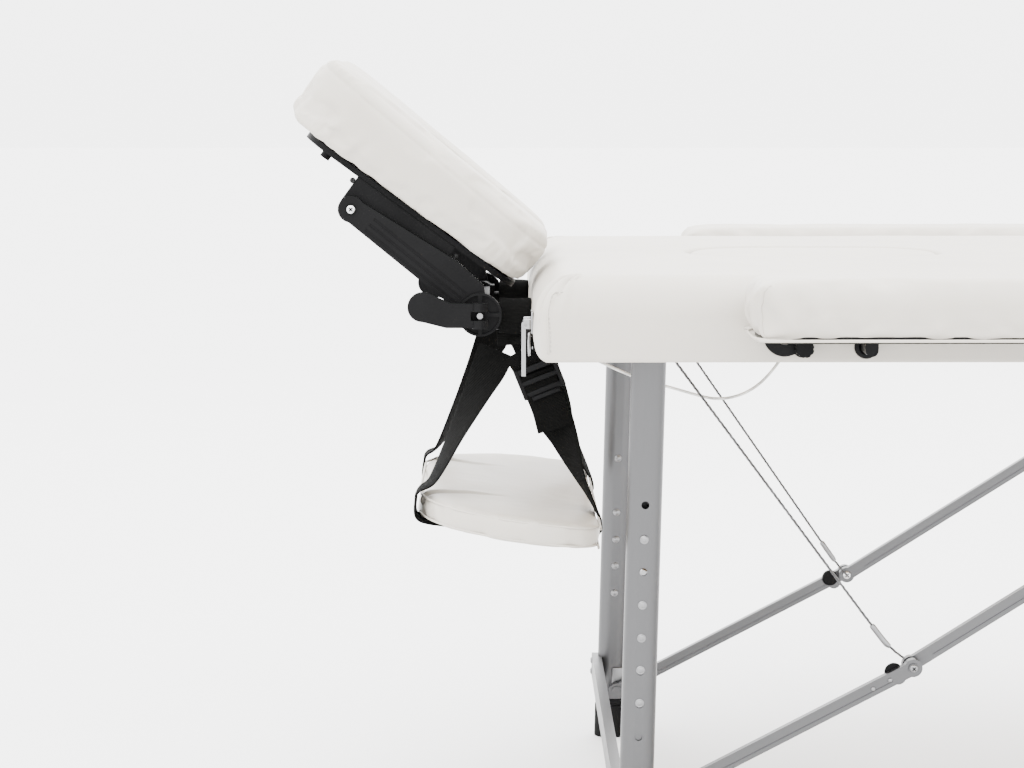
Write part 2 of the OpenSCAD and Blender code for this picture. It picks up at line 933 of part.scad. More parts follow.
module face_cushion() {
    half_w = cushion_w / 2;
    color(vinyl) cradle_frame() translate([0, 0, cushion_n]) intersection() {
        linear_extrude(cushion_t)
            horseshoe(cushion_a, cushion_l, half_w, 62, face_r, slot_half);
        wall_y(-half_w - 1, half_w + 1) translate([cushion_a, 0]) intersection() {
            round_rect(cushion_l, cushion_t, 15);
            rotate(-cushion_taper) translate([-40, -40])
                round_rect(cushion_l + 35, cushion_t + 40, 15);
        }
        translate([cushion_a, 0, 0]) rotate([0, cushion_taper, 0]) translate([-10, -half_w, -30])
            rotate([90, 0, 90]) linear_extrude(cushion_l + 30)
                round_rect(cushion_w, cushion_t + 30, 15);
    }
}

// Cam lever lying along the arm, with its rounded cam around an upright pin
module cam_lever() {
    y = lever_pin_y;
    cam_r = 8;
    blade = [y - 4, y + 4];
    translate([hub_x, 0, hub_z]) difference() {
        union() {
            translate([0, y, -13]) cylinder(r = cam_r, h = 26);
            wall_y(blade[0], blade[1])
                polygon([[-58, -6], [-34, -12], [0, -12], [0, 12], [-30, 13], [-52, 23]]);
            translate([-58, 0, 9]) bar_y(15, blade[0], blade[1]);
        }
        translate([0, y, -14]) cylinder(r = 2.5 + fit, h = 28);
        translate([0, y, -4.5]) cylinder(r = cam_r + 2, h = 9);
    }
}

module cam_lever_near() {
    color(black) mirror([0, 1, 0]) cam_lever();
}

module cam_lever_far() {
    color(black) cam_lever();
}

// ---------- arm sling ----------

// Flat webbing through points, as a chain of flat pieces with its width along the matching ways
module webbing(route, ways, w, t) {
    for (k = [0 : len(route) - 2]) hull() {
        webbing_edge(route[k], route[k + 1] - route[k], ways[k], w, t);
        webbing_edge(route[k + 1], route[k + 1] - route[k], ways[k + 1], w, t);
    }
}

module webbing_edge(p, run, way, w, t) {
    along = run / norm(run);
    raw = way - (way * along) * along;
    x = raw / norm(raw);
    y = cross(along, x);
    multmatrix([
        [x[0], y[0], along[0], p[0]],
        [x[1], y[1], along[1], p[1]],
        [x[2], y[2], along[2], p[2]]
    ]) cube([w, t, t / 2], center = true);
}

// Webbing wrapped round each post, with a short tab hanging from it
module strap_loops() {
    color(black) both_sides() translate([loop_x, post_y, 0]) {
        translate([-loop_l / 2, 0, post_z]) rotate([0, 90, 0]) difference() {
            cylinder(r = loop_r + strap_t, h = loop_l);
            translate([0, 0, -1]) cylinder(r = loop_r, h = loop_l + 2);
        }
        box([-16, -1, strap_top + 1], [16, 1, post_z - loop_r - strap_t]);
    }
}

// Route of the front strap, which turns to wrap the outer end of the shelf
front_route = [
    [-36, 119, 507], [-44, 120, 490], [-56, 121, 466], [-77, 122, 424], [-101, 123, 376],
    [-107, 124, 366]
];
front_ways = [
    [1, 0, 0], [0.95, 0.3, 0], [0.75, 0.65, 0], [0.45, 0.9, 0], [0.2, 1, 0], [0, 1, 0]
];

// Route of the rear strap, which runs through a ladder-lock to the inner end of the shelf
rear_route = [
    [-11, 119, 507], [-2, 122, 494], [11, 123, 472], [20, 124, 446], [34, 127, 416],
    [48, 130, 380], [58, 133, 350]
];
rear_ways = [
    [1, 0, 0], [1, 0, 0], [1, 0, 0], [1, 0.1, 0], [0.75, 0.65, 0], [0.35, 0.94, 0], [0, 1, 0]
];

module sling_straps() {
    color(black) both_sides() translate([head_x, 0, 0]) {
        webbing(front_route, front_ways, web_w, strap_t);
        webbing(rear_route, rear_ways, web_w, strap_t);
    }
}

// Ladder-lock buckle on each rear strap
module sling_buckles() {
    color(black) both_sides() translate([head_x + 8, 124.5, 480]) rotate([0, -22, 0]) {
        for (bar = [-12, 0, 12]) box([-19, 1.2, bar - 3], [19, 5, bar + 3]);
        for (end = [-17.5, 17.5]) box([end - 1.5, 1.2, -9], [end + 1.5, 5, 9]);
    }
}

module sling_shelf() {
    color(vinyl) translate([shelf_x, 0, shelf_z]) rotate([0, shelf_tilt, 0])
        translate([-shelf_l / 2, -shelf_w / 2, -shelf_t / 2]) linear_extrude(shelf_t)
            intersection() {
                round_rect(shelf_l, shelf_w, shelf_inner_r);
                round_rect(2 * shelf_outer_r, shelf_w, shelf_outer_r);
            }
}

// ---------- armrests ----------

// Board, two rods, and a curved side bracket that the knob clamps to the rail
module armrest_frame() {
    plate = [side_y + 0.4, side_y + 4.4];
    head_half() {
        translate([arm_u, arm_y, arm_board_z]) linear_extrude(arm_board_t)
            translate([6, 6]) round_rect(arm_l - 12, arm_w - 12, 30);
        for (u = arm_rods) translate([u, 0, arm_rod_z]) {
            bar_y(arm_rod_r, rail_y - 20, arm_y + 30);
            box([-arm_rod_r, arm_y + 10, 0], [arm_rod_r, arm_y + 30, arm_board_z - arm_rod_z]);
        }
        difference() {
            wall_y(plate[0], plate[1]) difference() {
                union() {
                    translate([knob_u, arm_rod_z]) circle(10);
                    translate([knob_u - 17, arm_board_z - 4]) circle(20);
                }
                translate([knob_u - 17, arm_board_z - 4]) circle(9);
                translate([knob_u - 60, arm_board_z + arm_board_t]) square([120, 60]);
            }
            translate([knob_u, 0, arm_rod_z]) bar_y(knob_screw_r + fit, side_y, arm_y + 1);
        }
        box([knob_u - 34, arm_y - 0.6, arm_board_z], [knob_u - 26, arm_y + 8, arm_board_z + 6]);
    }
}

// A flat outline in Y and Z, given its thickness along X
module wall_x(x0, x1) {
    translate([x0, 0, 0]) rotate([90, 0, 90]) linear_extrude(x1 - x0) children();
}

module armrest_pad() {
    t = arm_top - arm_board_z - arm_board_t;
    head_half() translate([arm_u, arm_y, arm_board_z + arm_board_t]) intersection() {
        linear_extrude(t) round_rect(arm_l, arm_w, 34);
        wall_y(0, arm_w) round_rect(arm_l, t, 16);
        wall_x(0, arm_l) round_rect(arm_w, t, 16);
    }
}

// Lobed clamp knob on a screw into the side rail
module arm_knob() {
    head_half() translate([knob_u, 0, arm_rod_z]) {
        difference() {
            bar_y(8.5, side_y + 8, side_y + 22);
            for (k = [0 : 7]) rotate([0, k * 45, 0]) translate([10, 0, 0])
                bar_y(2.2, side_y + 7, side_y + 23);
        }
        bar_y(5, side_y + 4.7, side_y + 8);
        bar_y(knob_screw_r, rail_y + 3, side_y + 5);
    }
}

module armrest_near_frame() {
    color(black) mirror([0, 1, 0]) armrest_frame();
}

module armrest_near_pad() {
    color(vinyl) mirror([0, 1, 0]) armrest_pad();
}

module armrest_far_frame() {
    color(black) armrest_frame();
}

module armrest_far_pad() {
    color(vinyl) armrest_pad();
}

module arm_knob_near() {
    color(black) mirror([0, 1, 0]) arm_knob();
}

module arm_knob_far() {
    color(black) arm_knob();
}

// ---------- latch ----------

latch_y = -262;
latch_z = 549;

// Slotted pull that hangs from a pin at the head end
module latch_pull() {
    color(chrome) translate([head_x - 8, latch_y, latch_z]) {
        difference() {
            wall_y(-9, 9) union() {
                translate([-4, -50]) square([4, 50]);
                circle(4);
            }
            box([-6, -3.5, -40], [2, 3.5, -14]);
            bar_y(2 + fit, -10, 10);
        }
    }
}

head_side_rails();
head_cross_rails();
head_deck();
head_pad();
head_side_cover();
accessory_sockets();
head_leg_brackets();
head_link_brackets();
head_hinge_leaves();
loop_cord();
cord_clips();
face_plug();
foot_side_rails();
foot_cross_rails();
foot_deck();
foot_pad();
foot_side_cover();
foot_leg_brackets();
foot_link_brackets();
foot_hinge_leaves();
carry_handle();
head_leg_tubes();
head_crossbar();
foot_leg_tubes();
foot_crossbar();
inner_leg_head_near();
inner_leg_head_far();
inner_leg_foot_near();
inner_leg_foot_far();
rubber_foot_head_near();
rubber_foot_head_far();
rubber_foot_foot_near();
rubber_foot_foot_far();
button_head_near();
button_head_far();
button_foot_near();
button_foot_far();
head_lower_links();
head_upper_links();
foot_lower_links();
foot_upper_links();
head_stays();
foot_stays();
headrest_base();
headrest_arms();
cradle_plate();
face_cushion();
cam_lever_near();
cam_lever_far();
strap_loops();
sling_straps();
sling_buckles();
sling_shelf();
armrest_near_frame();
armrest_near_pad();
armrest_far_frame();
armrest_far_pad();
arm_knob_near();
arm_knob_far();
latch_pull();
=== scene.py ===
"""Looks of the portable massage table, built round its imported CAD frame. Metres, in the frame's own axes."""

import math

import bmesh
import bpy
import numpy as np
from mathutils import Matrix, Vector, noise


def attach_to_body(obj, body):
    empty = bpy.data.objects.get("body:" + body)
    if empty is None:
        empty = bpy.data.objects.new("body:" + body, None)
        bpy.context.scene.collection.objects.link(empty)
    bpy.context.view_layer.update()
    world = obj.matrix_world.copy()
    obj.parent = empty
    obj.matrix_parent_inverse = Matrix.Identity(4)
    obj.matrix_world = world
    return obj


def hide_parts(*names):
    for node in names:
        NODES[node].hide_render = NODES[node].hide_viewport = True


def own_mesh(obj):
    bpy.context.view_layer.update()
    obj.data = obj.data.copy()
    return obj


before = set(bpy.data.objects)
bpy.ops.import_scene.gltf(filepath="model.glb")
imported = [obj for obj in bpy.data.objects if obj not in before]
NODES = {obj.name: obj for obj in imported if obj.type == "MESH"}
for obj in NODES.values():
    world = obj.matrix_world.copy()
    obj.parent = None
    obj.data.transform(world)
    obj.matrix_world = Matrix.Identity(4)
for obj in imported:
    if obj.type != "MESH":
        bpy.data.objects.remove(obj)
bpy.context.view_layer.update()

# table ends, half length, half width, and heights of the cover's top, the deck and the underside
HEAD_X = -0.810
FOOT_X = 1.050
HALF = 0.930
SIDE = 0.340
TOP = 0.600
DECK_TOP = 0.562
UNDER = 0.520

# rounding of the cover: lower end edge, plan corner, shoulder, and the edge at the middle hinge
END_R = 0.013
CORNER_R = 0.045
SHOULDER_R = 0.040
HINGE_R = 0.012

# headrest posts, leg pivots and brace knees; u is measured from the table end of a half
POST_Y = 0.115
POST_Z = 0.539
LEG_U = 0.112
LEG_Z = 0.535
LEG_Y = {"head": 0.260, "foot": 0.302}
KNEE_U = 0.3777
KNEE_Z = 0.2033


def from_end(half, u):
    """X at a distance u from the table end of a half."""
    return HEAD_X + u if half == "head" else FOOT_X - u


def side_tag(side):
    return "near" if side < 0 else "far"


def attach(o, body, slot, *stands_for):
    """Let o ride on a body in place of its CAD nodes. slot is not used."""
    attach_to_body(o, body)
    if stands_for:
        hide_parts(*stands_for)
    return o


# ---------- camera ----------

cam_data = bpy.data.cameras.new("camera")
cam_data.lens = 84.37
cam_data.sensor_width = 36.0
camera = bpy.data.objects.new("camera", cam_data)
bpy.context.scene.collection.objects.link(camera)
camera.location = (-0.8427, -2.5706, 0.7731)
camera.rotation_euler = (math.radians(90 - 6.980), 0.0, math.radians(-0.287))
bpy.context.scene.camera = camera


# ---------- mesh helpers ----------


def obj_from(name, verts, faces, mat=None, smooth=True):
    mesh = bpy.data.meshes.new(name)
    mesh.from_pydata([tuple(map(float, v)) for v in verts], [], faces)
    mesh.validate()
    mesh.update()
    o = bpy.data.objects.new(name, mesh)
    bpy.context.scene.collection.objects.link(o)
    if smooth:
        mesh.polygons.foreach_set("use_smooth", [True] * len(mesh.polygons))
    if mat:
        mesh.materials.append(mat)
    return o


def active(o):
    bpy.ops.object.select_all(action="DESELECT")
    o.select_set(True)
    bpy.context.view_layer.objects.active = o


def modify(o, kind, **values):
    m = o.modifiers.new(kind.lower(), kind)
    for k, v in values.items():
        setattr(m, k, v)
    active(o)
    bpy.ops.object.modifier_apply(modifier=m.name)
    return o


def shade(o, angle=35):
    o.data.polygons.foreach_set("use_smooth", [True] * len(o.data.polygons))
    active(o)
    bpy.ops.object.shade_smooth_by_angle(angle=math.radians(angle))
    return o


def join(name, objs):
    active(objs[0])
    for o in objs:
        o.select_set(True)
    if len(objs) > 1:
        bpy.ops.object.join()
    objs[0].name = name
    objs[0].data.name = name
    return objs[0]


def loft(name, rings, mat=None, caps=True, closed=True):
    """Quads between rings of equal length, with an n-gon on each end."""
    n = len(rings[0])
    verts = [v for r in rings for v in r]
    faces = []
    for k in range(len(rings) - 1):
        for i in range(n if closed else n - 1):
            j = (i + 1) % n
            faces.append((k * n + i, k * n + j, (k + 1) * n + j, (k + 1) * n + i))
    if caps:
        faces.append(tuple(range(n - 1, -1, -1)))
        faces.append(tuple((len(rings) - 1) * n + i for i in range(n)))
    o = obj_from(name, verts, faces, mat)
    fix_normals(o)
    return o


def fix_normals(o):
    bm = bmesh.new()
    bm.from_mesh(o.data)
    bmesh.ops.recalc_face_normals(bm, faces=bm.faces)
    bm.to_mesh(o.data)
    bm.free()


def frames_along(points):
    """Tangent, side and up at each point, carried along without twist."""
    pts = [Vector(p) for p in points]
    n = len(pts)
    out = []
    up = None
    for k in range(n):
        t = (pts[min(k + 1, n - 1)] - pts[max(k - 1, 0)]).normalized()
        if up is None:
            up = Vector((0, 0, 1)) if abs(t.z) < 0.9 else Vector((0, 1, 0))
        up = (up - up.dot(t) * t).normalized()
        out.append((t, t.cross(up).normalized(), up))
    return out


def tube(name, points, radius, mat=None, sides=12, closed=False):
    """A round tube along points. radius is one number or one for each point."""
    rad = radius if hasattr(radius, "__len__") else [radius] * len(points)
    if closed:
        points = list(points) + [points[0]]
        rad = list(rad) + [rad[0]]
    rings = []
    for p, r, (t, s, u) in zip(points, rad, frames_along(points)):
        rings.append([
            Vector(p) + r * (math.cos(a) * s + math.sin(a) * u)
            for a in (2 * math.pi * i / sides for i in range(sides))
        ])
    return loft(name, rings, mat, caps=not closed)


def smooth_path(points, count):
    """Catmull-Rom points through the given ones, evenly spaced."""
    p = [np.array(q, float) for q in points]
    p = [2 * p[0] - p[1]] + p + [2 * p[-1] - p[-2]]
    dense = []
    for i in range(1, len(p) - 2):
        for t in np.linspace(0, 1, 24, endpoint=False):
            a, b, c, d = p[i - 1 : i + 3]
            dense.append(0.5 * (2 * b + (c - a) * t + (2 * a - 5 * b + 4 * c - d) * t**2
                                + (3 * b - a - 3 * c + d) * t**3))
    dense.append(p[-2])
    dense = np.array(dense)
    s = np.concatenate([[0], np.cumsum(np.linalg.norm(np.diff(dense[:, :3], axis=0), axis=1))])
    at = np.linspace(0, s[-1], count)
    return [[float(np.interp(x, s, dense[:, k])) for k in range(dense.shape[1])] for x in at]


def lathe(name, profile, at, axis, mat=None, sides=48):
    """profile is a list of (radius, along) turned about axis through at."""
    a = Vector(axis).normalized()
    side = a.orthogonal().normalized()
    up = a.cross(side)
    rings = []
    for r, z in profile:
        r = max(r, 1e-5)
        rings.append([
            Vector(at) + a * z + r * (math.cos(t) * side + math.sin(t) * up)
            for t in (2 * math.pi * i / sides for i in range(sides))
        ])
    o = loft(name, rings, mat)
    return shade(o, 32)


def block(name, low, high, bevel, mat=None, segments=3):
    x0, y0, z0 = low
    x1, y1, z1 = high
    v = [(x, y, z) for x in (x0, x1) for y in (y0, y1) for z in (z0, z1)]
    f = [(0, 1, 3, 2), (4, 6, 7, 5), (0, 4, 5, 1), (2, 3, 7, 6), (0, 2, 6, 4), (1, 5, 7, 3)]
    o = obj_from(name, v, f, mat)
    fix_normals(o)
    modify(o, "BEVEL", width=bevel, segments=segments, limit_method="NONE")
    return shade(o, 40)


def hidden_copy(node):
    """A plain mesh copy of a CAD node, which sits at the origin in the row frame."""
    src = NODES[node]
    o = bpy.data.objects.new(node + "_copy", src.data.copy())
    bpy.context.scene.collection.objects.link(o)
    o.data.transform(src.matrix_world)
    o.data.materials.clear()
    bm = bmesh.new()
    bm.from_mesh(o.data)
    bmesh.ops.remove_doubles(bm, verts=bm.verts, dist=1e-6)
    bm.to_mesh(o.data)
    bm.free()
    return o


def coords(o):
    co = np.empty(len(o.data.vertices) * 3)
    o.data.vertices.foreach_get("co", co)
    return co.reshape(-1, 3)


def normals(o):
    n = np.empty(len(o.data.vertices) * 3)
    o.data.vertices.foreach_get("normal", n)
    return n.reshape(-1, 3)


def set_coords(o, co):
    o.data.vertices.foreach_set("co", np.ascontiguousarray(co, float).ravel())
    o.data.update()


def field(co, scale, seed=0.0):
    """Smooth noise from -1 to 1 at each point."""
    return np.array([noise.noise(Vector(p) * scale + Vector((seed, seed, seed))) for p in co])


# ---------- materials ----------


def make_mat(name, base, rough, metal=0.0, var=0.05, var_scale=14.0, rough_var=0.08,
             bumps=(), stretch=(1, 1, 1), coat=0.0, sheen=0.0, spec=0.5, use_uv=False,
             spots=0.0, second=None, anis=0.0):
    """Material whose colour, roughness and relief come from procedural textures in metres."""
    m = bpy.data.materials.new(name)
    m.use_nodes = True
    nt = m.node_tree
    nt.nodes.clear()
    out = nt.nodes.new("ShaderNodeOutputMaterial")
    bsdf = nt.nodes.new("ShaderNodeBsdfPrincipled")
    nt.links.new(bsdf.outputs[0], out.inputs[0])
    bsdf.inputs["Metallic"].default_value = metal
    bsdf.inputs["Specular IOR Level"].default_value = spec
    bsdf.inputs["Coat Weight"].default_value = coat
    bsdf.inputs["Coat Roughness"].default_value = 0.25
    bsdf.inputs["Sheen Weight"].default_value = sheen
    bsdf.inputs["Anisotropic"].default_value = anis
    tc = nt.nodes.new("ShaderNodeTexCoord")
    mp = nt.nodes.new("ShaderNodeMapping")
    mp.inputs["Scale"].default_value = stretch
    nt.links.new(tc.outputs["UV" if use_uv else "Object"], mp.inputs["Vector"])

    def tex(kind, scale, detail=3.0):
        if kind == "NOISE":
            t = nt.nodes.new("ShaderNodeTexNoise")
            t.inputs["Detail"].default_value = detail
        elif kind == "VORONOI":
            t = nt.nodes.new("ShaderNodeTexVoronoi")
            t.feature = "SMOOTH_F1"
        elif kind in ("WAVE_X", "WAVE_Y", "WAVE_D"):
            t = nt.nodes.new("ShaderNodeTexWave")
            t.bands_direction = {"WAVE_X": "X", "WAVE_Y": "Y", "WAVE_D": "DIAGONAL"}[kind]
            t.inputs["Distortion"].default_value = 0.6
            t.inputs["Detail"].default_value = 1.0
        t.inputs["Scale"].default_value = scale
        nt.links.new(mp.outputs[0], t.inputs["Vector"])
        return t.outputs["Fac"] if kind == "NOISE" else t.outputs[0 if kind == "VORONOI" else 1]

    ramp = nt.nodes.new("ShaderNodeValToRGB")
    lo = [max(0.0, c * (1 - var)) for c in base]
    hi = [min(1.0, c * (1 + var)) for c in (second or base)]
    ramp.color_ramp.elements[0].position = 0.3
    ramp.color_ramp.elements[1].position = 0.7
    ramp.color_ramp.elements[0].color = (*lo, 1)
    ramp.color_ramp.elements[1].color = (*hi, 1)
    nt.links.new(tex("NOISE", var_scale, 5.0), ramp.inputs[0])
    colour = ramp.outputs[0]
    if spots > 0:
        mix = nt.nodes.new("ShaderNodeMix")
        mix.data_type = "RGBA"
        mix.blend_type = "MULTIPLY"
        r2 = nt.nodes.new("ShaderNodeValToRGB")
        r2.color_ramp.elements[0].position = 0.25
        r2.color_ramp.elements[0].color = (1 - spots, 1 - spots, 1 - spots, 1)
        r2.color_ramp.elements[1].position = 0.55
        r2.color_ramp.elements[1].color = (1, 1, 1, 1)
        nt.links.new(tex("NOISE", var_scale * 22, 4.0), r2.inputs[0])
        mix.inputs[0].default_value = 1.0
        nt.links.new(colour, mix.inputs[6])
        nt.links.new(r2.outputs[0], mix.inputs[7])
        colour = mix.outputs[2]
    nt.links.new(colour, bsdf.inputs["Base Color"])
    mr = nt.nodes.new("ShaderNodeMapRange")
    mr.inputs["To Min"].default_value = max(0.02, rough - rough_var)
    mr.inputs["To Max"].default_value = min(1.0, rough + rough_var)
    nt.links.new(tex("NOISE", var_scale * 6, 4.0), mr.inputs["Value"])
    nt.links.new(mr.outputs[0], bsdf.inputs["Roughness"])
    last = None
    for kind, scale, strength, dist in bumps:
        b = nt.nodes.new("ShaderNodeBump")
        b.inputs["Strength"].default_value = strength
        b.inputs["Distance"].default_value = dist
        nt.links.new(tex(kind, scale), b.inputs["Height"])
        if last:
            nt.links.new(last, b.inputs["Normal"])
        last = b.outputs[0]
    if last:
        nt.links.new(last, bsdf.inputs["Normal"])
    return m


VINYL = make_mat("vinyl", (0.375, 0.348, 0.305), 0.46, var=0.02, var_scale=3, rough_var=0.07,
                 bumps=[("VORONOI", 900, 0.35, 0.00022), ("NOISE", 260, 0.25, 0.0004),
                        ("NOISE", 26, 0.15, 0.0012)],
                 second=(0.40, 0.372, 0.328))
VINYL_SOFT = make_mat("vinyl_cushion", (0.38, 0.353, 0.31), 0.44, var=0.02, var_scale=5, rough_var=0.07,
                      bumps=[("VORONOI", 800, 0.35, 0.00022), ("NOISE", 180, 0.25, 0.0005),
                             ("NOISE", 32, 0.2, 0.0012)])
THREAD = make_mat("thread", (0.32, 0.305, 0.28), 0.7, var=0.08, var_scale=200,
                  bumps=[("WAVE_D", 900, 0.6, 0.0002)])
PLY = make_mat("plywood_face", (0.36, 0.25, 0.15), 0.42, var=0.16, var_scale=9, stretch=(0.6, 8, 8),
               bumps=[("NOISE", 120, 0.2, 0.0004)], second=(0.42, 0.32, 0.20), coat=0.25)
ALU = make_mat("satin_aluminium", (0.085, 0.085, 0.087), 0.38, metal=1.0, var=0.03, var_scale=5,
               rough_var=0.05, stretch=(1, 1, 0.05), bumps=[("NOISE", 900, 0.10, 0.0002)], anis=0.4)
CHROME = make_mat("chrome", (0.22, 0.22, 0.225), 0.10, metal=1.0, var=0.02, var_scale=40, rough_var=0.05,
                  bumps=[("NOISE", 60, 0.06, 0.0004)])
STEEL = make_mat("zinc_steel", (0.18, 0.18, 0.183), 0.32, metal=1.0, var=0.07, var_scale=70, rough_var=0.09,
                 bumps=[("NOISE", 500, 0.15, 0.0002)])
# bright zinc plating, its colour lightened far past the other metals as painted highlight for the white screw
# heads
HIGHLIT_ZINC = make_mat("bright_zinc_painted_highlight", (0.60, 0.60, 0.61), 0.30, metal=1.0, var=0.03, var_scale=70, rough_var=0.06,
                  bumps=[("NOISE", 400, 0.08, 0.0002)])
WIRE = make_mat("wire_rope", (0.10, 0.10, 0.102), 0.35, metal=1.0, var=0.10, var_scale=120,
                bumps=[("WAVE_D", 420, 0.8, 0.0006)])
PLASTIC = make_mat("black_plastic", (0.0035, 0.0035, 0.0037), 0.45, var=0.18, spec=0.05, var_scale=25,
                   rough_var=0.07,
                   bumps=[("NOISE", 1100, 0.35, 0.00025), ("NOISE", 60, 0.08, 0.0006)])
COAT = make_mat("black_powder_coat", (0.0040, 0.0040, 0.0042), 0.38, var=0.15, spec=0.06, var_scale=30,
                rough_var=0.06,
                bumps=[("VORONOI", 1300, 0.3, 0.00015), ("NOISE", 300, 0.15, 0.0003)])
RUBBER = make_mat("rubber", (0.005, 0.005, 0.005), 0.72, spec=0.05, var=0.2, var_scale=40,
                  bumps=[("NOISE", 700, 0.3, 0.0003)])
WEB = make_mat("webbing", (0.0030, 0.0030, 0.0028), 0.75, var=0.25, var_scale=60, sheen=0.005, spec=0.03,
               bumps=[("WAVE_X", 330, 0.8, 0.0006), ("WAVE_Y", 220, 0.9, 0.0007)], use_uv=True)
CORD = make_mat("cord_jacket", (0.26, 0.26, 0.25), 0.42, var=0.05, var_scale=60,
                bumps=[("WAVE_D", 700, 0.35, 0.0003)], second=(0.66, 0.66, 0.64))
# painted shade: near-black stand-in for the shade inside screw slots, which are really the head's own metal
RECESS_SHADE = make_mat("recess_painted_shade", (0.006, 0.006, 0.006), 0.85, var=0.2, var_scale=30)


# ---------- loose loop cord ----------

# its route in the plane at CORD_Y, in millimetres of X and Z
CORD_D = 0.003
CORD_Y = -0.150
CORD_ROUTE = [
    (-788, 522), (-780, 519), (-771, 515), (-761, 510), (-750, 504), (-738, 498), (-725, 492),
    (-711, 486), (-697, 481), (-683, 477), (-669, 473), (-655, 469), (-641, 465), (-627, 462),
    (-613, 462), (-600, 465), (-589, 470), (-579, 477), (-570, 486), (-562, 496), (-555, 507),
    (-549, 519), (-544, 531), (-541, 542),
]
cord_path = smooth_path([(x / 1000, CORD_Y, z / 1000) for x, z in CORD_ROUTE], 120)
loop = tube("loop_cord_soft", cord_path, CORD_D / 2, CORD, sides=14)
attach(loop, "head_section", "cord_jacket", "loop_cord")
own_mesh(loop)


# ---------- upholstery of the two halves ----------


def plan(inset, inset_h, u_end):
    """Rounded plan of a half, inset from its sides and, separately, from its hinge end.

    Each point is (u, y, share), where share is 1 on the sides and 0 on the hinge end.
    """
    x0, x1 = inset, u_end - inset_h
    y1 = SIDE - inset
    rc = max(CORNER_R - inset, 0.016)
    ru = 0.012 + 0.006 * min(1.0, inset / 0.04)
    rh = max(0.008 - inset_h, 0.003)
    pts = []

    def line(a, b, n, s0=1, s1=1):
        for i in range(n):
            t = i / n
            pts.append((a[0] + (b[0] - a[0]) * t, a[1] + (b[1] - a[1]) * t, s0 + (s1 - s0) * t))

    def arc(c, r, a0, a1, n, s0=1, s1=1):
        for i in range(n):
            t = i / n
            a = math.radians(a0 + (a1 - a0) * t)
            pts.append((c[0] + r * math.cos(a), c[1] + r * math.sin(a), s0 + (s1 - s0) * t))

    def corner(side, a0, a1):
        steps = 44
        for i in range(steps):
            a = math.radians(a0 + (a1 - a0) * i / steps)
            pts.append((x0 + ru - ru * math.cos(a), side * (y1 - rc + rc * math.sin(a)), 1))

    arc((x1 - rh, -y1 + rh), rh, 0, -90, 6, 0, 1)
    line((x1 - rh, -y1), (x0 + 0.09, -y1), 70)
    line((x0 + 0.09, -y1), (x0 + ru, -y1), 24)
    corner(-1, 90, 0)
    line((x0, -y1 + rc), (x0, -y1 + rc + 0.05), 16)
    line((x0, -y1 + rc + 0.05), (x0, y1 - rc - 0.05), 46)
    line((x0, y1 - rc - 0.05), (x0, y1 - rc), 16)
    corner(1, 0, 90)
    line((x0 + ru, y1), (x0 + 0.09, y1), 24)
    line((x0 + 0.09, y1), (x1 - rh, y1), 70)
    arc((x1 - rh, y1 - rh), rh, 90, 0, 6, 1, 0)
    line((x1, y1 - rh), (x1, -y1 + rh), 56, 0, 0)
    return pts


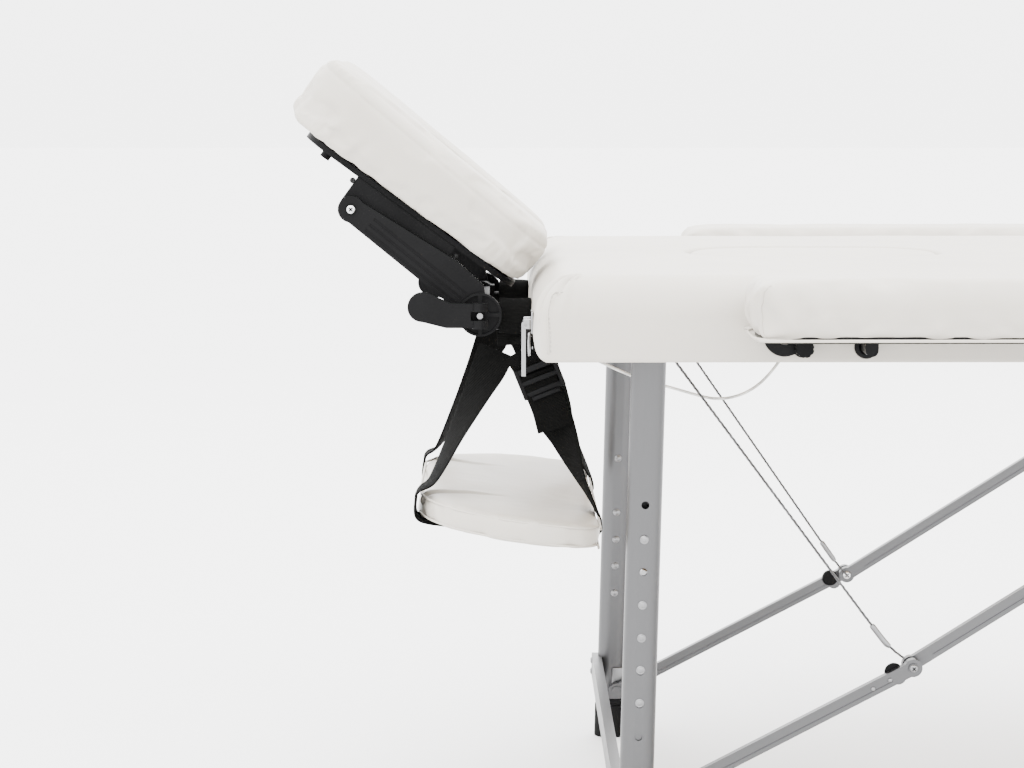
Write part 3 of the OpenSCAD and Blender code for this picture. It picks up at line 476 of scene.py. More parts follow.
def upholstery(half, seed):
    """One half's cover: straight sides, rounded shoulders, a crowned top and an open underside."""
    name = f"{half}_upholstery"
    u_end = HALF - 0.0012
    rings = []

    def ring(inset, inset_h, z_side, z_hinge):
        pts = plan(inset, inset_h, u_end)
        rings.append([(u, y, z_hinge + (z_side - z_hinge) * s) for u, y, s in pts])

    ring(0.0028, 0.0028, DECK_TOP + 0.0003, DECK_TOP + 0.0003)
    ring(0.0028, 0.0028, 0.545, 0.545)
    ring(0.0028, 0.0028, 0.5215, 0.5215)
    ring(0.0022, 0.0022, 0.5203, 0.5203)
    ring(0.0009, 0.0009, 0.5201, 0.5201)
    ring(0.0, 0.0, 0.5215, 0.5215)
    base = 0.524
    for k in range(9):
        t = k / 9
        bulge = 0.0008 * math.sin(math.pi * t)
        ring(-bulge, 0.0, base + (TOP - SHOULDER_R - base) * t, base + (TOP - HINGE_R - base) * t)
    for k in range(17):
        a = math.radians(90 * k / 16)
        ring(SHOULDER_R * (1 - math.cos(a)), HINGE_R * (1 - math.cos(a)),
             TOP - SHOULDER_R * (1 - math.sin(a)), TOP - HINGE_R * (1 - math.sin(a)))
    inner = (0.047, 0.056, 0.068, 0.085, 0.105, 0.13, 0.16, 0.195, 0.23, 0.265, 0.30, 0.325)
    for d in inner:
        t = (d - SHOULDER_R) / (inner[-1] - SHOULDER_R)
        z = TOP + 0.0016 * (1 - (1 - t) ** 2)
        ring(d, HINGE_R + (0.24 - HINGE_R) * t, z, z)
    o = loft(name, [[(from_end(half, u), y, z) for u, y, z in r] for r in rings], VINYL)
    co = coords(o)
    u = np.abs(co[:, 0] - from_end(half, 0))
    y, z = co[:, 1], co[:, 2]
    outer = z > 0.5235
    # pleats at the two table-end corners: folds that fan over the shoulder
    nrm = normals(o)
    push = np.zeros(len(co))
    for side in (-1, 1):
        near_corner = (u < 0.075) & (side * y > SIDE - 0.075)
        rise = np.clip((z - 0.556) / 0.020, 0, 1) * np.clip((0.6008 - z) / 0.004, 0, 1)
        cx, cy = CORNER_R, side * (SIDE - CORNER_R)
        theta = np.degrees(np.arctan2(side * (y - cy), cx - u))
        for a0, w, depth in ((16, 4.4, 0.0050), (37, 4.2, 0.0044), (58, 4.0, 0.0030), (76, 3.6, 0.0018)):
            lean = a0 + 60 * (z - 0.575) * (1 if a0 < 45 else -1)
            g = np.exp(-(((theta - lean) / w) ** 2))
            ridge = np.exp(-(((theta - lean - 1.9 * w) / w) ** 2))
            push -= near_corner * rise * (depth * g - 0.45 * depth * ridge)
    # the lower edge of the table end is rounded under
    lift = END_R - np.sqrt(np.maximum(END_R**2 - np.clip(END_R - u, 0, END_R) ** 2, 0))
    low = (z < 0.550) & (u < END_R)
    co[low, 2] += (lift * (0.550 - z) / (0.550 - UNDER))[low]
    push += outer * 0.0005 * field(co, 9, seed) + outer * 0.00022 * field(co, 38, seed + 3)
    # slight pull marks along the wrapped sides
    sides = outer & (z < 0.556)
    pull = np.array([noise.noise(Vector((a * 30 + seed, b * 3, c * 7))) for a, b, c in co])
    push += sides * 0.00035 * pull
    set_coords(o, co + nrm * push[:, None])
    # strip of the cover that turns under the table end
    rings = []
    reach = SIDE - CORNER_R + CORNER_R * math.sin(math.acos(-0.083)) - 0.0006
    for k in range(61):
        y = -reach + 2 * reach * k / 60
        over = max(0.0, (abs(y) - (SIDE - CORNER_R)) / CORNER_R)
        u0 = 0.012 * (1 - math.sqrt(max(0.0, 1 - over**2))) + 0.0002
        a0 = math.acos(min(1.0, (END_R - u0) / END_R))
        ring = []
        for r, turn in ((END_R - 0.0001, 1), (END_R - 0.0026, -1)):
            arc = [a0 + (math.pi / 2 + 0.10 - a0) * i / 12 for i in range(13)][::turn]
            ring += [(from_end(half, END_R - r * math.cos(a)), y, UNDER + END_R - r * math.sin(a)) for a in arc]
        rings.append(ring)
    wrap = loft(name + "_wrap", rings, VINYL)
    return join(name, [o, wrap])


def stadium_rings(cx, half, profile, count=96):
    """Rings of an outline with round ends, half being half its straight length along X."""
    rings = []
    for r, z in profile:
        ring = []
        for i in range(count):
            t = 2 * math.pi * i / count
            x = math.cos(t) * r + (half if math.cos(t) >= 0 else -half)
            ring.append((cx + x, math.sin(t) * r, z))
        rings.append(ring)
    return rings


PLUG_X = HEAD_X + 0.303
PLUG_HALF = 0.05
head_cover = upholstery("head", 2.0)
hole = [(0.0850, 0.540), (0.0850, 0.5935), (0.0853, 0.5960), (0.0862, 0.5982), (0.0877, 0.5999),
        (0.0900, 0.6012), (0.0935, 0.6021), (0.0935, 0.62)]
cutter = loft("plug_cutter", stadium_rings(PLUG_X, PLUG_HALF, hole), VINYL)
mod = head_cover.modifiers.new("cut", "BOOLEAN")
mod.object = cutter
mod.operation = "DIFFERENCE"
mod.solver = "EXACT"
active(head_cover)
bpy.ops.object.modifier_apply(modifier="cut")
bpy.data.objects.remove(cutter)
shade(head_cover, 50)
attach(head_cover, "head_section", "vinyl", "head_pad", "head_side_cover")

foot_cover = shade(upholstery("foot", 11.0), 50)
attach(foot_cover, "foot_section", "vinyl", "foot_pad", "foot_side_cover")

plug_profile = [(0.080, 0.5586), (0.0838, 0.5590), (0.0841, 0.5610), (0.0841, 0.5900)]
for k in range(9):
    a = math.radians(90 * k / 8)
    plug_profile.append((0.0751 + 0.0090 * math.cos(a), 0.5922 + 0.0085 * math.sin(a)))
for r in (0.068, 0.055, 0.038, 0.020, 0.006):
    plug_profile.append((r, 0.6008 + 0.0013 * (1 - (r / 0.075) ** 2)))
plug = loft("face_plug_soft", stadium_rings(PLUG_X, PLUG_HALF, plug_profile), VINYL)
pc = coords(plug)
set_coords(plug, pc + normals(plug) * (0.0004 * field(pc, 22, 5.0))[:, None])
attach(shade(plug, 50), "face_plug", "vinyl", "face_plug")


def stitches(name, path, gap, length, radius, body):
    """A row of thread stitches that dip at both ends."""
    total = sum(math.dist(a, b) for a, b in zip(path, path[1:]))
    n = max(2, int(total / gap))
    dense = smooth_path(path, n * 8 + 1)
    span = max(2, int(round(8 * length / gap)))
    parts = []
    for k in range(n):
        piece = dense[k * 8 : k * 8 + span + 1]
        if len(piece) < 3:
            continue
        rad = [radius * (0.35 if i in (0, len(piece) - 1) else 1.0) for i in range(len(piece))]
        parts.append(tube(f"{name}_{k}", piece, rad, THREAD, sides=6))
    o = join(name, parts)
    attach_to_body(o, body)
    return o


def surface_path(obj, pts, lift):
    """The points moved onto the nearest place of obj, and off it by lift."""
    inv = obj.matrix_world.inverted()
    out = []
    for p in pts:
        loc, nrm = obj.closest_point_on_mesh(inv @ Vector(p))[1:3]
        out.append(tuple(obj.matrix_world @ (loc + nrm * lift)))
    return out


def dart(obj, half, side):
    """Stitched dart on one table-end corner."""
    name = f"{half}_dart_{side_tag(side)}"
    body = f"{half}_section"
    raw = [(0.0205, 0.590), (0.0150, 0.584), (0.0118, 0.577), (0.0112, 0.568), (0.0115, 0.555),
           (0.0122, 0.542), (0.0125, 0.528)]
    pts = smooth_path([(from_end(half, u), side * (SIDE + 0.004 - (0.010 if z > 0.58 else 0.0)), z)
                       for u, z in raw], 60)
    ridge = tube(name + "_seam", surface_path(obj, pts, 0.0001), 0.0008, VINYL, sides=8)
    attach(ridge, body, "vinyl")
    inward = 0.0022 * (1 if half == "head" else -1)
    beside = surface_path(obj, [(x + inward, y, z) for x, y, z in pts], 0.0002)
    stitches(name + "_stitch", beside, 0.0042, 0.0028, 0.00045, body)


for side in (-1, 1):
    dart(head_cover, "head", side)
    dart(foot_cover, "foot", side)


# ---------- padded pieces: face cushion and armrest pads ----------


CLOTH_FRAMES = 20


def stuffed(node, name, voxel, pressure, cap, pins, mat, smooth=6):
    """A cushion from a CAD node's shape, inflated as cloth for its wrinkles and held near its start by cap."""
    o = hidden_copy(node)
    o.name = name
    modify(o, "REMESH", mode="VOXEL", voxel_size=voxel, adaptivity=0.0)
    modify(o, "SMOOTH", factor=0.5, iterations=smooth)
    start = coords(o).copy()
    rng = np.random.default_rng(3)
    jitter = np.array([noise.noise(Vector(p) * 45) for p in start]) * 0.0011
    set_coords(o, start + normals(o) * jitter[:, None] + rng.normal(0, 0.00008, start.shape))
    group = o.vertex_groups.new(name="pin")
    for i, p in enumerate(start):
        w = pins(p)
        if w > 0:
            group.add([i], w, "REPLACE")
    cloth = o.modifiers.new("cloth", "CLOTH")
    st = cloth.settings
    st.quality = 6
    st.mass = 0.25
    st.tension_stiffness = 12
    st.compression_stiffness = 12
    st.shear_stiffness = 6
    st.bending_stiffness = 0.4
    st.use_pressure = True
    st.uniform_pressure_force = pressure
    st.shrink_min = -0.055
    st.vertex_group_mass = "pin"
    st.pin_stiffness = 4
    st.effector_weights.gravity = 0
    cloth.collision_settings.use_self_collision = False
    cloth.point_cache.frame_start = 1
    cloth.point_cache.frame_end = CLOTH_FRAMES
    scene = bpy.context.scene
    for f in range(1, CLOTH_FRAMES + 1):
        scene.frame_set(f)
    active(o)
    bpy.ops.object.modifier_apply(modifier="cloth")
    scene.frame_set(1)
    moved = coords(o) - start
    far = np.linalg.norm(moved, axis=1)
    scale = np.minimum(1.0, cap / np.maximum(far, 1e-9))
    set_coords(o, start + moved * scale[:, None])
    o.vertex_groups.clear()
    modify(o, "SUBSURF", levels=1, render_levels=1)
    o.data.materials.clear()
    o.data.materials.append(mat)
    return o


TILT = math.radians(36.3)
LIP = Vector((HEAD_X - 0.2282, 0, 0.731))
CUSHION_TAPER = math.radians(3.6)
OVAL_MID, OVAL_A, OVAL_Y = 0.120, 0.148, 0.145


def tilted(origin, angle, a, y, n):
    """A point a along a tilted plate through origin and n up off it."""
    return Vector((origin.x + a * math.cos(angle) + n * math.sin(angle), y,
                   origin.z - a * math.sin(angle) + n * math.cos(angle)))


def untilted(co, origin, angle):
    """Each point's a, y and n on that plate."""
    d = co - np.array(origin)
    a = d[:, 0] * math.cos(angle) - d[:, 2] * math.sin(angle)
    n = d[:, 0] * math.sin(angle) + d[:, 2] * math.cos(angle)
    return a, d[:, 1], n


def cradle(a, y, n):
    """A point of the face cradle, a being measured along its plate from the lip."""
    return tilted(LIP, TILT, a, y, n)


def cushion_pins(p):
    n = untilted(np.array([p]), LIP, TILT)[2]
    return 1.0 if n[0] < 0.010 else 0.0


cushion = stuffed("face_cushion", "face_cushion_soft", 0.0040, 2.4, 0.0026, cushion_pins, VINYL_SOFT, 2)
co = coords(cushion)
a, y, n = untilted(co, LIP, TILT)
nrm = normals(cushion)
# gathers of the cover, pulled under the cushion's outer edge
across, along = y / OVAL_Y, (a - OVAL_MID) / OVAL_A
around = np.arctan2(across, along)
rim = np.sqrt(along**2 + across**2)
low = np.exp(-(((n - 0.013) / 0.016) ** 2))
outer = np.clip((rim - 0.80) / 0.15, 0, 1)
wob = field(co, 26, 4.0)
fold = np.sin(around * 46 + 5.0 * wob) * (0.5 + 0.5 * field(co, 12, 9.0))
push = 0.0022 * low * outer * fold * np.clip((0.105 - a) / 0.06, 0, 1)
push += 0.0005 * field(co, 18, 1.0) + 0.0002 * field(co, 70, 2.0)
# seam line under the top edge
seam_n = 0.0645 - (a + 0.02) * math.tan(CUSHION_TAPER)
line = np.exp(-(((n - seam_n) / 0.0016) ** 2)) * np.clip((rim - 0.86) / 0.06, 0, 1)
push -= 0.0011 * line
set_coords(cushion, co + nrm * push[:, None])
attach(shade(cushion, 80), "face_cradle", "vinyl", "face_cushion")


# ends, widths, corner radius, top and welt height of an armrest pad
PAD_X = (HEAD_X + 0.195, HEAD_X + 0.695)
PAD_Y = (0.3458, 0.4642)
PAD_R = 0.033
PAD_TOP = 0.602
PAD_STRETCH = 51.5 / 46
WELT_Z = 0.5530


def arm_pins(p):
    return 1.0 if p[2] < 0.562 else 0.0


for side in (-1, 1):
    tag = side_tag(side)
    pad = stuffed(f"armrest_{tag}_pad", f"armrest_{tag}_soft", 0.0050, 3.5, 0.0045, arm_pins, VINYL_SOFT)
    co = coords(pad)
    co[:, 2] = PAD_TOP - (PAD_TOP - co[:, 2]) * PAD_STRETCH
    set_coords(pad, co)
    nrm = normals(pad)
    x0, x1 = PAD_X
    end = np.minimum(np.abs(co[:, 0] - x0), np.abs(co[:, 0] - x1))
    near_end = np.exp(-((end / 0.022) ** 2))
    low = np.exp(-(((co[:, 2] - 0.566) / 0.012) ** 2))
    fold = np.sin(co[:, 1] * 260 + 4 * field(co, 30, side * 2.0)) * near_end
    push = 0.0020 * low * fold + 0.0006 * field(co, 18, 3.0 + side) + 0.0003 * field(co, 60, 6.0)
    outer_side = np.clip((np.abs(co[:, 1]) - 0.44) / 0.02, 0, 1)
    push += 0.0009 * low * np.sin(co[:, 0] * 190 + 5 * field(co, 9, 2.0)) * outer_side
    set_coords(pad, co + nrm * push[:, None])
    attach(shade(pad, 80), f"armrest_{tag}", "vinyl", f"armrest_{tag}_pad")
    # sewn welt round the pad's lower edge
    y0, y1 = PAD_Y
    r = PAD_R
    path = []
    for cx, cy, s in ((x0 + r, y0 + r, 180), (x1 - r, y0 + r, 270), (x1 - r, y1 - r, 0), (x0 + r, y1 - r, 90)):
        for k in range(13):
            t = math.radians(s + 90 * k / 12)
            path.append((cx + (r + 0.0004) * math.cos(t), side * (cy + (r + 0.0004) * math.sin(t)), WELT_Z))
    welt = tube(f"armrest_{tag}_welt", smooth_path(path + [path[0]], 260), 0.0014, VINYL_SOFT, sides=10)
    attach(welt, f"armrest_{tag}", "vinyl")
    # sewn fold of the cover at each end
    for k, (xe, out) in enumerate(((x0, -1), (x1, 1))):
        fold_line = [(0.0125, 0.5985), (0.004, 0.5900), (0.0012, 0.5760), (0.0024, 0.5620), (0.0070, 0.5525)]
        line_pts = smooth_path([(xe - out * inset, side * (y1 - 0.012), z) for inset, z in fold_line], 40)
        seam = tube(f"armrest_{tag}_seam_{k}", surface_path(pad, line_pts, 0.0001), 0.0008, VINYL_SOFT, sides=8)
        attach(seam, f"armrest_{tag}", "vinyl")


# ---------- arm sling ----------


def ribbon(name, route, ways, w, t, body, samples):
    """Flat webbing along a smooth route, its width along the blended ways, with UVs for the weave."""
    data = [list(p) + list(q) for p, q in zip(route, ways)]
    pts = smooth_path(data, samples)
    p = [Vector(q[:3]) for q in pts]
    n = len(p)
    shape = [(-0.5, -0.28), (-0.47, -0.5), (-0.25, -0.5), (0, -0.5), (0.25, -0.5), (0.47, -0.5), (0.5, -0.28),
             (0.5, 0.28), (0.47, 0.5), (0.25, 0.5), (0, 0.5), (-0.25, 0.5), (-0.47, 0.5), (-0.5, 0.28)]
    rings = []
    run = [0.0]
    for k in range(n):
        along = (p[min(k + 1, n - 1)] - p[max(k - 1, 0)]).normalized()
        way = Vector(pts[k][3:6])
        x = (way - way.dot(along) * along).normalized()
        y = along.cross(x)
        curl = 0.0012 * math.sin(7.0 * k / n + w * 90)
        rings.append([p[k] + x * (a * w) + y * (b * t + curl * (1 - 4 * a * a)) for a, b in shape])
        if k:
            run.append(run[-1] + (p[k] - p[k - 1]).length)
    o = loft(name, rings, WEB)
    uv = o.data.uv_layers.new(name="weave")
    m = len(shape)
    for poly in o.data.polygons:
        for li in poly.loop_indices:
            vi = o.data.loops[li].vertex_index
            uv.data[li].uv = (shape[vi % m][0] * w, run[min(vi // m, n - 1)])
    return attach(shade(o, 50), body, "webbing")


# the shelf's middle, tilt, half sizes and plan radii, outer and inner
SHELF_C = Vector((HEAD_X - 0.025, 0, 0.338))
SHELF_T = math.radians(6)
SHELF_A, SHELF_Y = 0.0925, 0.218
SHELF_OUTER_R, SHELF_INNER_R = 0.130, 0.035


def shelf_pt(a, y, n):
    return tilted(SHELF_C, SHELF_T, a, y, n)


shelf = stuffed("sling_shelf", "sling_shelf_soft", 0.0045, 2.0, 0.0025, lambda p: 0.0, VINYL_SOFT)
co = coords(shelf)
sa, sy, sn = untilted(co, SHELF_C, SHELF_T)
groove = np.zeros(len(co))
for side in (-1, 1):
    under_strap = np.exp(-(((sy - side * 0.124) / 0.019) ** 6))
    groove += 0.5 * under_strap * np.clip((np.abs(sa) - 0.072) / 0.02, 0, 1)
    # crease pulled in from the outer strap, fading inwards
    bend = side * (0.122 - 0.022 * np.clip((sa + 0.093) / 0.05, 0, 1))
    fade = np.clip((0.005 - sa) / 0.08, 0, 1) * (sn > 0)
    crease = np.exp(-(((sy - bend) / 0.0042) ** 2)) - 0.5 * np.exp(-(((sy - bend - 0.008) / 0.006) ** 2))
    groove += 2.0 * fade * crease
push = -0.0016 * groove + 0.0006 * field(co, 16, 8.0) + 0.0002 * field(co, 65, 1.0)
set_coords(shelf, co + normals(shelf) * push[:, None])
attach(shade(shelf, 70), "sling", "vinyl", "sling_shelf")

piping = []
for n_edge in (0.0095, -0.0095):
    path = []
    for sx, sy, r, s in ((-1, -1, SHELF_OUTER_R, 180), (1, -1, SHELF_INNER_R, 270),
                         (1, 1, SHELF_INNER_R, 0), (-1, 1, SHELF_OUTER_R, 90)):
        cx, cy = sx * (SHELF_A - r), sy * (SHELF_Y - r)
        for k in range(9):
            t = math.radians(s + 90 * k / 8)
            ex = cx + r * math.cos(t)
            if abs(ex) > SHELF_A or (r == SHELF_OUTER_R and ex > SHELF_A - 0.036):
                continue
            path.append(tuple(shelf_pt(ex, cy + r * math.sin(t), n_edge)))
    piping.append(tube("piping", smooth_path(path + [path[0]], 200), 0.0013, VINYL_SOFT, sides=8))
edge = join("sling_shelf_piping", piping)
attach(edge, "sling", "vinyl")

# strap routes as X from the table end, Y and Z, each with the way its width lies
FRONT = [(-0.036, 0.119, 0.5085), (-0.044, 0.120, 0.490), (-0.056, 0.121, 0.466), (-0.077, 0.122, 0.424),
         (-0.101, 0.123, 0.376)]
FRONT_W = [(1, 0, 0), (0.95, 0.3, 0), (0.75, 0.65, 0), (0.45, 0.9, 0), (0.2, 1, 0)]
REAR = [(-0.011, 0.119, 0.5085), (-0.002, 0.122, 0.494), (0.011, 0.123, 0.472), (0.020, 0.124, 0.446),
        (0.034, 0.127, 0.416), (0.048, 0.130, 0.380)]
REAR_W = [(1, 0, 0), (1, 0, 0), (1, 0, 0), (1, 0.12, 0), (0.75, 0.65, 0), (0.35, 0.94, 0)]
TAIL = [(0.004, 0.1265, 0.486), (0.010, 0.1285, 0.470), (0.018, 0.131, 0.450), (0.024, 0.134, 0.428)]
TAIL_W = [(1, 0, 0), (1, 0, 0), (1, 0.05, 0), (0.97, 0.12, 0)]
# the ends of both straps pass round the shelf's edge and under it, as (a, n) on the shelf
FRONT_WRAP = [(-0.0935, 0.016), (-0.0955, 0.004), (-0.0935, -0.010), (-0.080, -0.0152), (-0.040, -0.0155)]
REAR_WRAP = [(0.0955, 0.006), (0.0945, -0.008), (0.083, -0.0152), (0.040, -0.0155)]
STRAP_W, STRAP_T = 0.038, 0.0019
# webbing wound round a post: turns in degrees, first radius and its growth
WIND, WIND_R, WIND_GROWTH = 1080, 0.0118, 0.0072


def strap(name, side, points, ways, wrap=(), wrap_y=0.0, w=STRAP_W, t=STRAP_T, samples=120):
    """One strap of the sling, with its width along ways and, round the shelf's edge, across the table."""
    route = [(HEAD_X + x, side * y, z) for x, y, z in points]
    ends = [shelf_pt(a, 0, n) for a, n in wrap]
    route += [(v.x, side * wrap_y, v.z) for v in ends]
    lie = [(x, side * y, z) for x, y, z in ways] + [(0, side, 0)] * len(ends)
    return ribbon(name, route, lie, w, t, "sling", samples)


for side in (-1, 1):
    tag = side_tag(side)
    front = strap(f"sling_front_strap_{tag}", side, FRONT, FRONT_W, FRONT_WRAP, 0.124)
    strap(f"sling_rear_strap_{tag}", side, REAR, REAR_W, REAR_WRAP, 0.126)
    # loose tail below the buckle
    strap(f"sling_strap_tail_{tag}", side, TAIL, TAIL_W, w=0.037, t=0.0018, samples=40)
    # webbing wound round the post, and sewn below it
    turn = []
    for k in range(97):
        share = k / 96
        t = math.radians(-90 + WIND * share)
        r = WIND_R + WIND_GROWTH * share
        turn.append((HEAD_X - 0.0175 + 0.0010 * math.sin(k * 0.19), side * POST_Y + r * math.cos(t) * side,
                     POST_Z + 0.005 * share + r * math.sin(t)))
    band = ribbon(f"post_loop_{tag}", turn, [(1, 0, 0)] * 97, 0.032, 0.0019, "headrest_base", samples=220)
    hang = [(HEAD_X - 0.019, side * 0.1165, 0.528), (HEAD_X - 0.019, side * 0.1165, 0.520),
            (HEAD_X - 0.0185, side * 0.1165, 0.5135)]
    ribbon(f"post_loop_tab_{tag}", hang, [(1, 0, 0)] * 3, 0.034, 0.0036, "headrest_base", samples=16)
    if side < 0:
        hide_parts("sling_straps")
        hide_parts("strap_loops")

for side in (-1, 1):
    lean = Matrix.Rotation(math.radians(-22), 4, "Y")
    place = Matrix.Translation((HEAD_X + 0.008, side * 0.1245, 0.480)) @ lean
    parts = []
    for bar, h in ((-0.0125, 0.0062), (0, 0.0052), (0.0125, 0.0062)):
        parts.append(block("bar", (-0.0205, side * 0.0012, bar - h / 2), (0.0205, side * 0.0056, bar + h / 2),
                           0.0014, PLASTIC))
    for end in (-0.0205, 0.0205):
        parts.append(block("end", (end - 0.0024, side * 0.0010, -0.0160), (end + 0.0024, side * 0.0060, 0.0160),
                           0.0014, PLASTIC))
    parts.append(block("lip", (-0.015, side * 0.0050, -0.0195), (0.015, side * 0.0090, -0.0150),
                       0.0012, PLASTIC))
    lock = join(f"ladder_lock_{side_tag(side)}", parts)
    lock.data.transform(place)
    attach(lock, "sling", "black_plastic")
    if side < 0:
        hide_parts("sling_buckles")


# ---------- carry handle, screws, rosettes and latch pull ----------


def screw(name, at, axis, r, body, cross=True, mat=STEEL):
    """A domed screw head with a cross slot, which is drawn as dark blocks of painted shade."""
    h = r * 0.45
    dome = [(0.98, 0.0), (1.0, 0.18), (0.94, 0.45), (0.78, 0.74), (0.52, 0.93), (0.22, 1.0), (0.0, 1.0)]
    o = lathe(name, [(r * x, h * z) for x, z in dome], at, axis, mat, sides=36)
    if cross:
        a = Vector(axis).normalized()
        side = a.orthogonal().normalized()
        up = a.cross(side)
        parts = []
        # the slot: near-black blocks of painted shade standing in for the shade inside the cross
        for d1, d2 in ((side, up), (up, side)):
            v = []
            for depth in (0.80, 1.01):
                for i, j in ((-1, -1), (1, -1), (1, 1), (-1, 1)):
                    v.append(Vector(at) + a * (h * depth) + d1 * (i * r * 0.60) + d2 * (j * r * 0.17))
            f = [(3, 2, 1, 0), (4, 5, 6, 7), (0, 1, 5, 4), (1, 2, 6, 5), (2, 3, 7, 6), (3, 0, 4, 7)]
            parts.append(obj_from("slot", v, f, RECESS_SHADE, smooth=False))
        o = join(name, [o] + parts)
    return attach(o, body, "steel")


HANDLE_X = FOOT_X - HALF / 2
HANDLE_Z = UNDER + 0.020
HANDLE_END = 0.080
# one half of the strap, as distance from the middle and Y
bow = [(0.090, 0.3415), (0.066, 0.3425), (0.060, 0.352), (0.045, 0.366), (0.015, 0.3705)]
route = [(HANDLE_X - x, y, HANDLE_Z) for x, y in bow] + [(HANDLE_X + x, y, HANDLE_Z) for x, y in bow[::-1]]
handle = ribbon("carry_handle_strap", route, [(0, 0, 1)] * len(route), 0.026, 0.0026, "foot_section",
                samples=120)
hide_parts("carry_handle")
grip_rings = []
for k in range(25):
    x = HANDLE_X - 0.042 + 0.084 * k / 24
    t = abs(k - 12) / 12
    r = 0.0105 + 0.0012 * math.cos(k * 1.6) * (1 - t)
    middle = 0.3665 + 0.0035 * (1 - t * t)
    grip_rings.append([(x, middle + 0.62 * r * math.cos(a), HANDLE_Z + 1.25 * r * math.sin(a))
                       for a in (2 * math.pi * i / 28 for i in range(28))])
attach(shade(loft("carry_handle_grip", grip_rings, RUBBER), 40), "foot_section", "rubber")
for k, end in enumerate((-HANDLE_END, HANDLE_END)):
    x = HANDLE_X + end
    plate = block(f"handle_plate_{k}", (x - 0.014, 0.3422, HANDLE_Z - 0.0135),
                  (x + 0.014, 0.3448, HANDLE_Z + 0.0135), 0.001, STEEL)
    attach(plate, "foot_section", "steel")
    screw(f"handle_screw_{k}", (x, 0.3448, HANDLE_Z), (0, 1, 0), 0.0046, "foot_section")

POST_ROSETTE = [(0.0106, 0.0012), (0.0106, 0.0036), (0.0118, 0.0044), (0.0150, 0.0040), (0.0172, 0.0022),
                (0.0178, -0.0006), (0.0106, -0.0006)]
ROD_ROSETTE = [(0.0063, -0.0004), (0.0063, 0.0026), (0.0078, 0.0034), (0.0108, 0.0024), (0.0116, -0.0004)]
for side in (-1, 1):
    tag = side_tag(side)
    # plastic rosette where each post enters the table end
    ros = lathe(f"post_rosette_{tag}", POST_ROSETTE, (HEAD_X, side * POST_Y, POST_Z), (-1, 0, 0), PLASTIC)
    attach(ros, "head_section", "black_plastic")
    # rings round the armrest rods where they enter the side
    for k, u in enumerate((0.310, 0.590)):
        ring = lathe(f"arm_rosette_{tag}_{k}", ROD_ROSETTE, (HEAD_X + u, side * (SIDE + 0.0006), 0.535),
                     (0, side, 0), PLASTIC, sides=36)
        attach(ring, "head_section", "black_plastic")

# the latch pull's bezel and pin, and the ring and tab beside it
LX, LY, LZ = HEAD_X - 0.008, -0.262, 0.549
RING_X, RING_Y, RING_Z = HEAD_X - 0.0042, LY + 0.034, 0.5265
bezel_parts = [block("plate", (HEAD_X - 0.0028, LY - 0.0135, LZ - 0.0085),
                     (HEAD_X - 0.0004, LY + 0.0135, LZ + 0.0125), 0.0009, CHROME)]
for y in (LY - 0.0128, LY + 0.0098):
    bezel_parts.append(block("ear", (HEAD_X - 0.0100, y, LZ - 0.0040),
                             (HEAD_X - 0.0020, y + 0.0030, LZ + 0.0060), 0.0010, CHROME))
attach(join("latch_bezel", bezel_parts), "head_section", "chrome")
barrel = [(0.0001, -0.0130), (0.0018, -0.0130), (0.0019, 0), (0.0018, 0.0130), (0.0001, 0.0130)]
pin = lathe("latch_pin", barrel, (LX, LY, LZ), (0, 1, 0), STEEL, sides=20)
attach(pin, "head_section", "steel")
wire_pts = []
half_y, half_z, bend_r = 0.0125, 0.0105, 0.003
for sy, sz, s in ((1, 1, 0), (-1, 1, 90), (-1, -1, 180), (1, -1, 270)):
    for k in range(7):
        t = math.radians(s + 90 * k / 6)
        wire_pts.append((RING_X, RING_Y + sy * (half_y - bend_r) + bend_r * math.cos(t),
                         RING_Z + sz * (half_z - bend_r) + bend_r * math.sin(t)))
wire = tube("latch_ring", smooth_path(wire_pts + [wire_pts[0]], 90), 0.0012, CHROME, sides=12)
attach(wire, "head_section", "chrome")
tab = [(0.0012, 0.5425), (0.0024, 0.5400), (0.0064, 0.5368), (0.0050, 0.5310), (0.0014, 0.5240)]
ribbon("latch_ring_tab", [(HEAD_X - x, RING_Y, z) for x, z in tab], [(0, 1, 0)] * len(tab), 0.018, 0.0014,
       "head_section", samples=40)
for k, (y, z) in enumerate(((RING_Y, 0.5230), (LY, 0.5565))):
    screw(f"latch_screw_{k}", (HEAD_X - 0.0004, y, z), (-1, 0, 0), 0.0026, "head_section")


# ---------- leg fittings ----------

SPLAY = math.radians(1.3)
COLLAR = [(0.01335, 0.4885), (0.0146, 0.4890), (0.0148, 0.4905), (0.0148, 0.4945), (0.0140, 0.4958),
          (0.0118, 0.4962)]


def leg_pt(half, du, y, down):
    """A point beside a leg: du towards the table's centre from the leg axis, down from its pivot."""
    u = LEG_U - down * math.sin(SPLAY) + du * math.cos(SPLAY)
    return (from_end(half, u), y, LEG_Z - down * math.cos(SPLAY) - du * math.sin(SPLAY))


def leg_out(half):
    """Direction across a leg, towards the table end."""
    x = math.cos(SPLAY) if half == "foot" else -math.cos(SPLAY)
    return (x, 0, math.sin(SPLAY))


